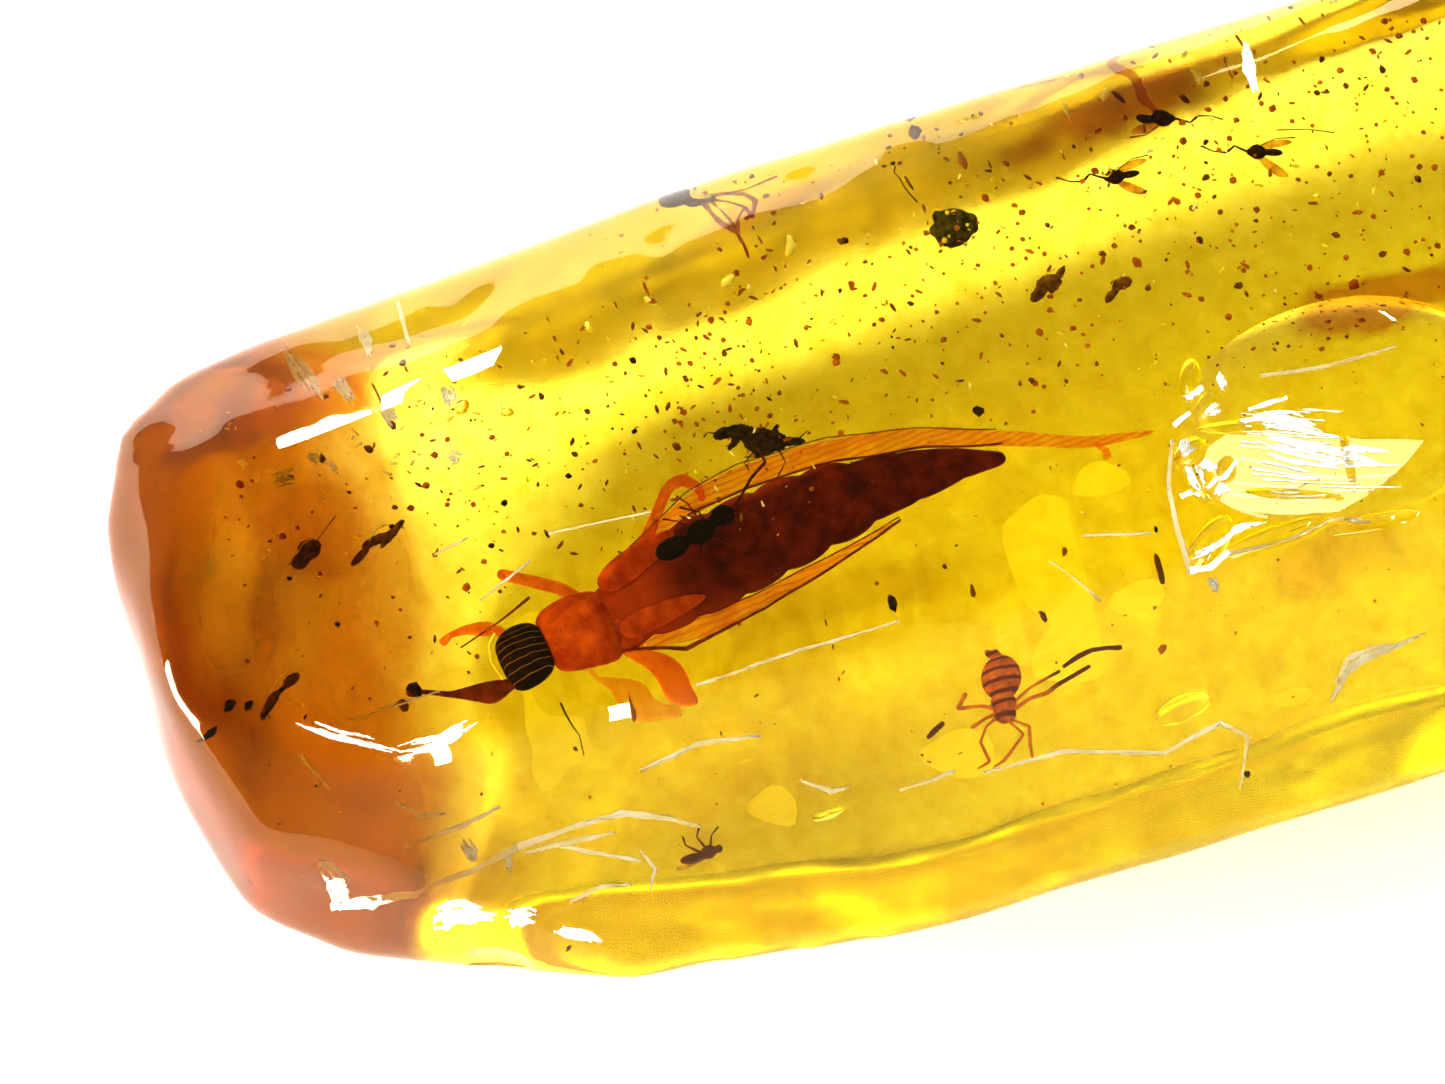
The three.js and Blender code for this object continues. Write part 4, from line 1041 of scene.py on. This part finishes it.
# How many specks lie in each part of the resin: from and to (mm), their sizes and their kinds.
SPECK_CLOUDS = [
    (1100, (-13, 1, 6), (27, 11, 12.8), (0.05, 0.16), (0, 1, 2, 2, 2, 3, 4)),
    (260, (-21, -1, 6), (-9, 7, 12.6), (0.04, 0.13), (0, 1, 1, 2, 3, 4)),
    (500, (-28, -11, 3), (28, 11, 12.6), (0.025, 0.08), (0, 1, 2, 3, 4)),
    (110, (-27, 2, 8), (-18, 8, 12.6), (0.05, 0.16), (2, 4, 4, 4, 0)),
    (40, (-28, -4, 6), (-20, 4, 12), (0.04, 0.12), (0, 1, 5, 2)),
    (70, (2, -8, 6), (14, 1, 12), (0.03, 0.1), (2, 3, 4, 0)),
]
BIG_SPECKS = [
    ((-3.03, 1.4, 7.2), 0.22, 5), ((-7.6, -3.8, 7.2), 0.17, 5), ((-5.7, -3.4, 7.2), 0.09, 0),
    ((-5.1, -4.0, 7.2), 0.09, 0), ((-3.2, -4.4, 7.2), 0.12, 0), ((-1.9, -3.8, 7.2), 0.12, 0),
    ((1.05, -3.9, 7.2), 0.08, 5), ((0.82, -4.3, 7.2), 0.1, 0), ((-7.9, -3.3, 7.2), 0.08, 2),
    ((0.2, -6.6, 7.2), 0.2, 2), ((-13.6, 3.9, 7.2), 0.12, 5), ((-16.1, 3.0, 7.2), 0.13, 5),
    ((-17.1, 3.0, 7.2), 0.1, 1), ((-18.3, 2.7, 7.2), 0.14, 5), ((-16, 1.9, 7.2), 0.09, 0),
    ((-17.3, 1.3, 7.2), 0.12, 1), ((-19.1, 1.4, 7.2), 0.12, 5), ((-15.6, 4.2, 7.2), 0.12, 1),
    ((-14.9, 5.0, 7.2), 0.1, 0), ((-20.2, 0.3, 7.2), 0.16, 2), ((-16.3, -3.9, 7.2), 0.1, 0),
    ((-12.4, -3.3, 7.2), 0.08, 2), ((-1.65, 10.3, 7.2), 0.3, 0), ((3.5, 4.9, 7.2), 0.2, 2),
    ((-22.7, -2.6, 7.2), 0.3, 5), ((-23.2, -2.9, 7.2), 0.2, 0), ((1.8, -11.2, 5.5), 0.14, 5),
    ((9.97, 2.2, 7.2), 0.24, 2), ((6.75, 3.8, 7.2), 0.16, 3),
    ((13.3, 10.0, 7.2), 0.14, 2), ((-11.95, 7.2, 9), 0.2, 4), ((-7.2, 7.8, 9), 0.28, 4),
    ((-9.4, 7.4, 9), 0.26, 4), ((4.3, 9.6, 9), 0.2, 4), ((7.5, 10.1, 8), 0.16, 4),
    ((-2.7, 10.0, 8), 0.1, 5), ((-2.8, 9.2, 8), 0.1, 5), ((-28.2, -2.0, 10.0), 0.2, 5),
    ((-27.7, -2.3, 10.2), 0.16, 5), ((-28.6, -2.2, 9.6), 0.14, 5),
]
dust = random.Random(11)
placed = [(Vector(spot), size, kind) for spot, size, kind in BIG_SPECKS]
for count, low, high, sizes, kinds in SPECK_CLOUDS:
    for _ in range(count):
        spot = Vector([dust.uniform(a, b) for a, b in zip(low, high)])
        size = sizes[0] + (sizes[1] - sizes[0]) * dust.random() ** 2
        kind = dust.choice(kinds)
        if inside_resin(spot, 0.7):
            placed.append((spot, size, kind))
specks = []
for spot, size, kind in placed:
    speck = speck_kinds[kind].copy()
    speck.data = speck_kinds[kind].data.copy()
    bpy.context.collection.objects.link(speck)
    speck.location = spot
    speck.scale = (size,) * 3
    speck.rotation_euler = [dust.uniform(-0.5, 0.5), dust.uniform(-0.5, 0.5), dust.uniform(0, 6.28)]
    specks.append(speck)
for kind in speck_kinds:
    bpy.data.objects.remove(kind)
specks = joined(specks, "specks")
deselect()
specks.select_set(True)
bpy.context.view_layer.objects.active = specks
bpy.ops.object.transform_apply(location=True, rotation=True, scale=True)
finish_in_millimetres(specks, (0, 0, 0))

# Fine hairs and fibres, drawn thin: points and half thickness.
FIBRES = [
    ([(9.4, 8.15, 7.2), (10.3, 7.85, 7.3), (11.15, 7.5, 7.2)], 0.025),
    ([(-18.6, -4.4, 9), (-18.3, -5.0, 9), (-18.35, -5.7, 9)], 0.03),
    ([(-2.7, 9.1, 7.6), (-2.85, 8.9, 7.6), (-2.6, 8.6, 7.6)], 0.03),
    ([(-23.5, 3.6, 8), (-24.6, 2.6, 8), (-25.4, 2.3, 8)], 0.02),
    ([(5.1, -4.6, 7.6), (5.5, -4.5, 7.6), (5.9, -4.35, 7.6)], 0.06),
]
fibres = joined([
    limb(points, tapering(points, half, half * 0.6), bark_skin.material) for points, half in FIBRES
], "fibres")
finish_in_millimetres(fibres, (0, 0, 0))


# ---- The bruises, painted highlights and cracks ---------------------------------------------
# Knocks have crushed the skin of the resin to white powder in short bars, and fine healed cracks
# run across its front. Two white bars along the front crease of the narrow end are a painted
# highlight, and the white of the marks in and round the chips is partly a painted glint. Both kinds
# of mark follow the skin, so they are drawn from above and laid on it.
bruise_and_highlight_skin = Chitin("crushed_resin_and_painted_highlight", (0, 0, 0), 0, (0.9, 0.87, 0.78), (1, 1, 0.97), scale=2, roughness=0.5)
crack_skin = Chitin(
    "healed_crack", (0, 0, 0), 0, (0.9, 0.78, 0.45), (1, 0.95, 0.75), scale=2, transmission=0.25
)
# Points (mm, seen from above) and half widths of each mark.
BRUISES_AND_HIGHLIGHTS = [
    # painted highlight: the left arm of the bright bar along the front crease of the narrow end
    ([(-26.63, -4.12), (-25.37, -5.03), (-23.9, -5.88)], [0.09, 0.16, 0.16]),
    # crushed resin in and round the shell-shaped chip; its white is partly a painted glint of the chip's
    # floor
    ([(4.6, -2.95), (5.6, -3.2), (7.2, -4.1)], [0.05, 0.12, 0.04]),
    ([(4.5, -3.9), (5.2, -4.4), (6.6, -5.0)], [0.04, 0.1, 0.04]),
    ([(4.4, -2.75), (5.9, -3.05)], [0.04, 0.03]),
    ([(4.3, -4.2), (5.6, -4.85)], [0.03, 0.04]),
    ([(6.9, -4.2), (8.3, -4.9)], [0.12, 0.05]),
    ([(3.9, -4.4), (5.3, -4.95)], [0.03, 0.02]),
    # painted highlight: the right arm of the bright bar along the front crease
    ([(-23.96, -5.89), (-22.5, -5.93), (-21.36, -5.59)], [0.16, 0.16, 0.09]),
    # more crushed resin in and round the chip, its white partly a painted glint
    ([(4.38, -3.33), (5.3, -3.82), (6.55, -4.44), (8.15, -5.38)], [0.12, 0.3, 0.34, 0.06]),
    ([(1.85, -3.35), (2.43, -3.2)], [0.12, 0.19]),
    ([(2.05, -3.72), (2.16, -4.18), (2.21, -4.68)], [0.16, 0.28, 0.16]),
    ([(2.41, -3.83), (2.76, -4.22)], [0.09, 0.16]),
    ([(1.36, -4.88), (2.05, -4.77)], [0.09, 0.09]),
    ([(2.46, -5), (2.94, -4.83)], [0.09, 0.16]),
    ([(2.32, -4.65), (2.99, -4.43), (3.52, -4.02)], [0.06, 0.09, 0.06]),
    ([(3.05, -2.33), (3.58, -2.14)], [0.16, 0.16]),
    ([(3.87, -1.09), (3.88, -1.73)], [0.09, 0.16]),
    ([(2.54, -1.72), (3.36, -1.54)], [0.09, 0.12]),
    ([(1.93, -2.56), (2.56, -2.25)], [0.09, 0.06]),
    ([(0.96, -6.8), (1.6, -6.53), (2.8, -6.33), (4.13, -6.44)], [0.09, 0.12, 0.08, 0.05]),
    ([(0.95, -7.06), (1.65, -7.12), (2.31, -6.85)], [0.09, 0.09, 0.06]),
    ([(4.04, -2.7), (5.48, -2.81), (6.46, -3.29)], [0.06, 0.16, 0.06]),
    ([(4.47, -2.41), (5.83, -2.28)], [0.06, 0.06]),
    # small chips along the lower front edge; their white is partly a painted glint
    ([(-24.23, -9.45), (-23.14, -9.75), (-22.24, -10.05)], [0.09, 0.19, 0.12]),
    ([(-22.02, -10.2), (-20.96, -10.4)], [0.16, 0.12]),
    ([(-20.64, -10.8), (-19.79, -11.1), (-19.23, -11.4)], [0.12, 0.16, 0.09]),
    ([(8.47, 9.63), (8.28, 8.55), (8.14, 7.6)], [0.12, 0.22, 0.09]),
]
CRACKS = [
    ([(-23.57, 9.54), (-23.29, 7.68), (-23.06, 6.09)], [0.16, 0.28, 0.22]),
    ([(-22.42, 7.22), (-22.2, 5.52)], [0.19, 0.19]),
    ([(-21.07, 9.31), (-21.13, 7.25)], [0.16, 0.12]),
    ([(-19.68, 9.89), (-19.88, 7.58)], [0.06, 0.06]),
    ([(-19.28, 5.35), (-19.25, 4.53)], [0.22, 0.25]),
    ([(-21.28, 5.22), (-21.12, 4.42)], [0.16, 0.22]),
    ([(-25.24, 3.73), (-24.51, 3.72)], [0.22, 0.28]),
    ([(-23.93, 4.32), (-23.73, 3.9)], [0.12, 0.12]),
    ([(-19.8, 3.06), (-19.49, 2.69)], [0.16, 0.12]),
    ([(-23.4, 3.8), (-23.3, 3.49)], [0.09, 0.09]),
    ([(-26.03, 4.74), (-25.91, 4.46)], [0.09, 0.09]),
    ([(-27.14, -7.5), (-26.77, -7.85), (-26.35, -8.15), (-26.9, -8.0)], [0.12, 0.22, 0.12, 0.06]),
    ([(-27.0, -8.0), (-25.78, -8.53), (-24.49, -8.97), (-22.56, -8.97), (-21.14, -8.75)],
     [0.04, 0.06, 0.05, 0.06, 0.09]),
    ([(-21.14, -8.75), (-19.24, -8.67), (-17.78, -8.69), (-16.47, -9.09), (-15.48, -9.53)],
     [0.09, 0.06, 0.08, 0.06, 0.03]),
    ([(-24.45, -8.01), (-22.55, -7.92), (-21.36, -7.75)], [0.03, 0.06, 0.03]),
    ([(-20.99, -8.95), (-19.85, -8.96), (-18.69, -9.04), (-18.12, -9.07)], [0.03, 0.06, 0.06, 0.03]),
    ([(-17.5, -9.63), (-17.18, -10.13), (-17.48, -10.59)], [0.03, 0.06, 0.03]),
    ([(-19.96, -10.3), (-18.96, -10.18), (-17.98, -10.34)], [0.03, 0.05, 0.03]),
    ([(-22.68, -8.22), (-22.57, -8.53), (-22.54, -8.82)], [0.19, 0.16, 0.06]),
    ([(-21.53, -8.76), (-21.47, -9.06), (-21.6, -9.26)], [0.12, 0.16, 0.09]),
    ([(-24.41, -6.95), (-23.79, -7.46), (-23.03, -7.54)], [0.03, 0.06, 0.03]),
    ([(-12.21, -9.14), (-11.37, -9.57), (-10.74, -9.62)], [0.03, 0.06, 0.03]),
    ([(-14.72, -6.35), (-11.34, -6.22), (-8.13, -6.19)], [0.03, 0.05, 0.03]),
    ([(-17.63, -0.41), (-14.4, -0.62)], [0.03, 0.03]),
    ([(-21.17, -0.08), (-20.02, 0.17)], [0.04, 0.03]),
    ([(-6.57, -10.19), (-3.98, -10.24), (-0.9, -10.95), (1.01, -10.66)], [0.03, 0.05, 0.05, 0.06]),
    ([(1.01, -10.66), (1.81, -11.16), (1.27, -12.27)], [0.06, 0.06, 0.03]),
    ([(4.46, -10.95), (5.47, -10.15), (8.13, -10.06)], [0.06, 0.12, 0.06]),
    # along the rim and over the floor of the chip: cracks whose paleness is partly a painted highlight
    ([(1.72, -2.99), (1.14, -4.29), (0.93, -5.67), (0.94, -7.11)], [0.06, 0.06, 0.09, 0.09]),
    ([(1.59, -7.31), (1.61, -7.74)], [0.16, 0.06]),
    ([(2.23, -6.89), (4.25, -6.89), (5.59, -6.77), (6.86, -7.09)], [0.06, 0.06, 0.05, 0.03]),
    ([(5.21, -1.42), (7.41, -1.55), (9.74, -1.5)], [0.06, 0.06, 0.03]),
    ([(3.62, -3.91), (6.11, -5.22), (8.23, -5.71)], [0.05, 0.08, 0.03]),
    ([(3.08, -4.73), (5.09, -5.33)], [0.05, 0.06]),
    ([(2.81, -5.14), (5.24, -5.85)], [0.05, 0.05]),
    ([(-1.93, -5.21), (0.16, -5.75)], [0.04, 0.03]),
    ([(-20.24, -1.94), (-18.41, -1.11)], [0.03, 0.03]),
    ([(-25.08, -4.55), (-22.21, -4.41)], [0.03, 0.03]),
    ([(-26.81, -5.05), (-26.22, -6.2)], [0.06, 0.03]),
    ([(-16.95, -7.89), (-14.97, -7.67), (-13.13, -7.9)], [0.03, 0.06, 0.03]),
    ([(-19.86, -9.01), (-17.57, -9.86)], [0.05, 0.05]),
    ([(-9.25, -10.03), (-7.44, -9.96)], [0.03, 0.05]),
    ([(-3.15, -5.69), (-1.99, -7.15)], [0.03, 0.03]),
]

# The fine parallel scratches that fan out over the floor of the chip. Drawn white, they are partly a
# painted reflection of its silvery floor.
chisel = random.Random(8)
for stroke in range(26):
    left, back = chisel.uniform(3.6, 6.2), -2.5 - 0.13 * stroke
    length = chisel.uniform(0.8, 2.6)
    right = (left + length, back - 0.3 * length)
    BRUISES_AND_HIGHLIGHTS.append(([(left, back), right], [chisel.uniform(0.012, 0.03), 0.01]))


def frayed(marks):
    """Splits the wide marks in thin strands that start and end unevenly."""
    strands = []
    for points, half_widths in marks:
        if max(half_widths) < 0.1:
            strands.append((points, half_widths))
            continue
        for _ in range(round(max(half_widths) * 30) + 2):
            share = chisel.uniform(-1, 1)
            start, end = chisel.uniform(0, 0.3), chisel.uniform(0.7, 1)
            line = []
            for step in range(5):
                along = (start + (end - start) * step / 4) * (len(points) - 1)
                leg = min(int(along), len(points) - 2)
                near, far = Vector(points[leg]), Vector(points[leg + 1])
                width = half_widths[leg] + (half_widths[leg + 1] - half_widths[leg]) * (along - leg)
                across = Vector((near.y - far.y, far.x - near.x)).normalized()
                spot = near.lerp(far, along - leg) + across * (width * share + chisel.uniform(-0.05, 0.05))
                line.append(tuple(spot))
            half = chisel.uniform(0.02, 0.055)
            strands.append((line, [0.3 * half, half, 1.3 * half, 0.8 * half, 0.3 * half]))
    return strands


def laid_in_skin(marks, substance, name, depth):
    """Flat strips laid just under the skin of the resin, all joined."""
    strips = joined(
        [ribbon([(x, y, 20) for x, y in points], half_widths) for points, half_widths in marks], name
    )
    finish_in_millimetres(strips, (0, 0, 0))
    deselect()
    strips.select_set(True)
    bpy.context.view_layer.objects.active = strips
    bpy.ops.object.mode_set(mode="EDIT")
    bpy.ops.mesh.select_all(action="SELECT")
    bpy.ops.mesh.subdivide(number_cuts=5)
    bpy.ops.transform.vertex_random(offset=0.035 * mm, seed=4)
    bpy.ops.object.mode_set(mode="OBJECT")
    apply_modifier(
        strips, "SHRINKWRAP", target=copal, wrap_method="PROJECT", use_project_z=True,
        use_negative_direction=True, use_positive_direction=False,
    )
    # what hung over the edge of the resin is cut away
    above = [vertex.index for vertex in strips.data.vertices if vertex.co.z > 15 * mm]
    deselect()
    strips.select_set(True)
    bpy.ops.object.mode_set(mode="EDIT")
    bpy.ops.mesh.select_all(action="DESELECT")
    bpy.ops.object.mode_set(mode="OBJECT")
    for index in above:
        strips.data.vertices[index].select = True
    bpy.ops.object.mode_set(mode="EDIT")
    bpy.ops.mesh.delete(type="VERT")
    bpy.ops.object.mode_set(mode="OBJECT")
    deselect()
    strips.select_set(True)
    bpy.ops.transform.translate(value=(0, 0, -depth * mm))
    bpy.ops.object.transform_apply(location=True, rotation=True, scale=True)
    apply_modifier(strips, "SOLIDIFY", thickness=0.02 * mm, offset=0)
    smooth(strips, substance)
    return strips


laid_in_skin(frayed(BRUISES_AND_HIGHLIGHTS), bruise_and_highlight_skin.material, "bruises_and_painted_highlights", -0.02)
laid_in_skin(frayed(CRACKS), crack_skin.material, "healed_cracks", 0.05)
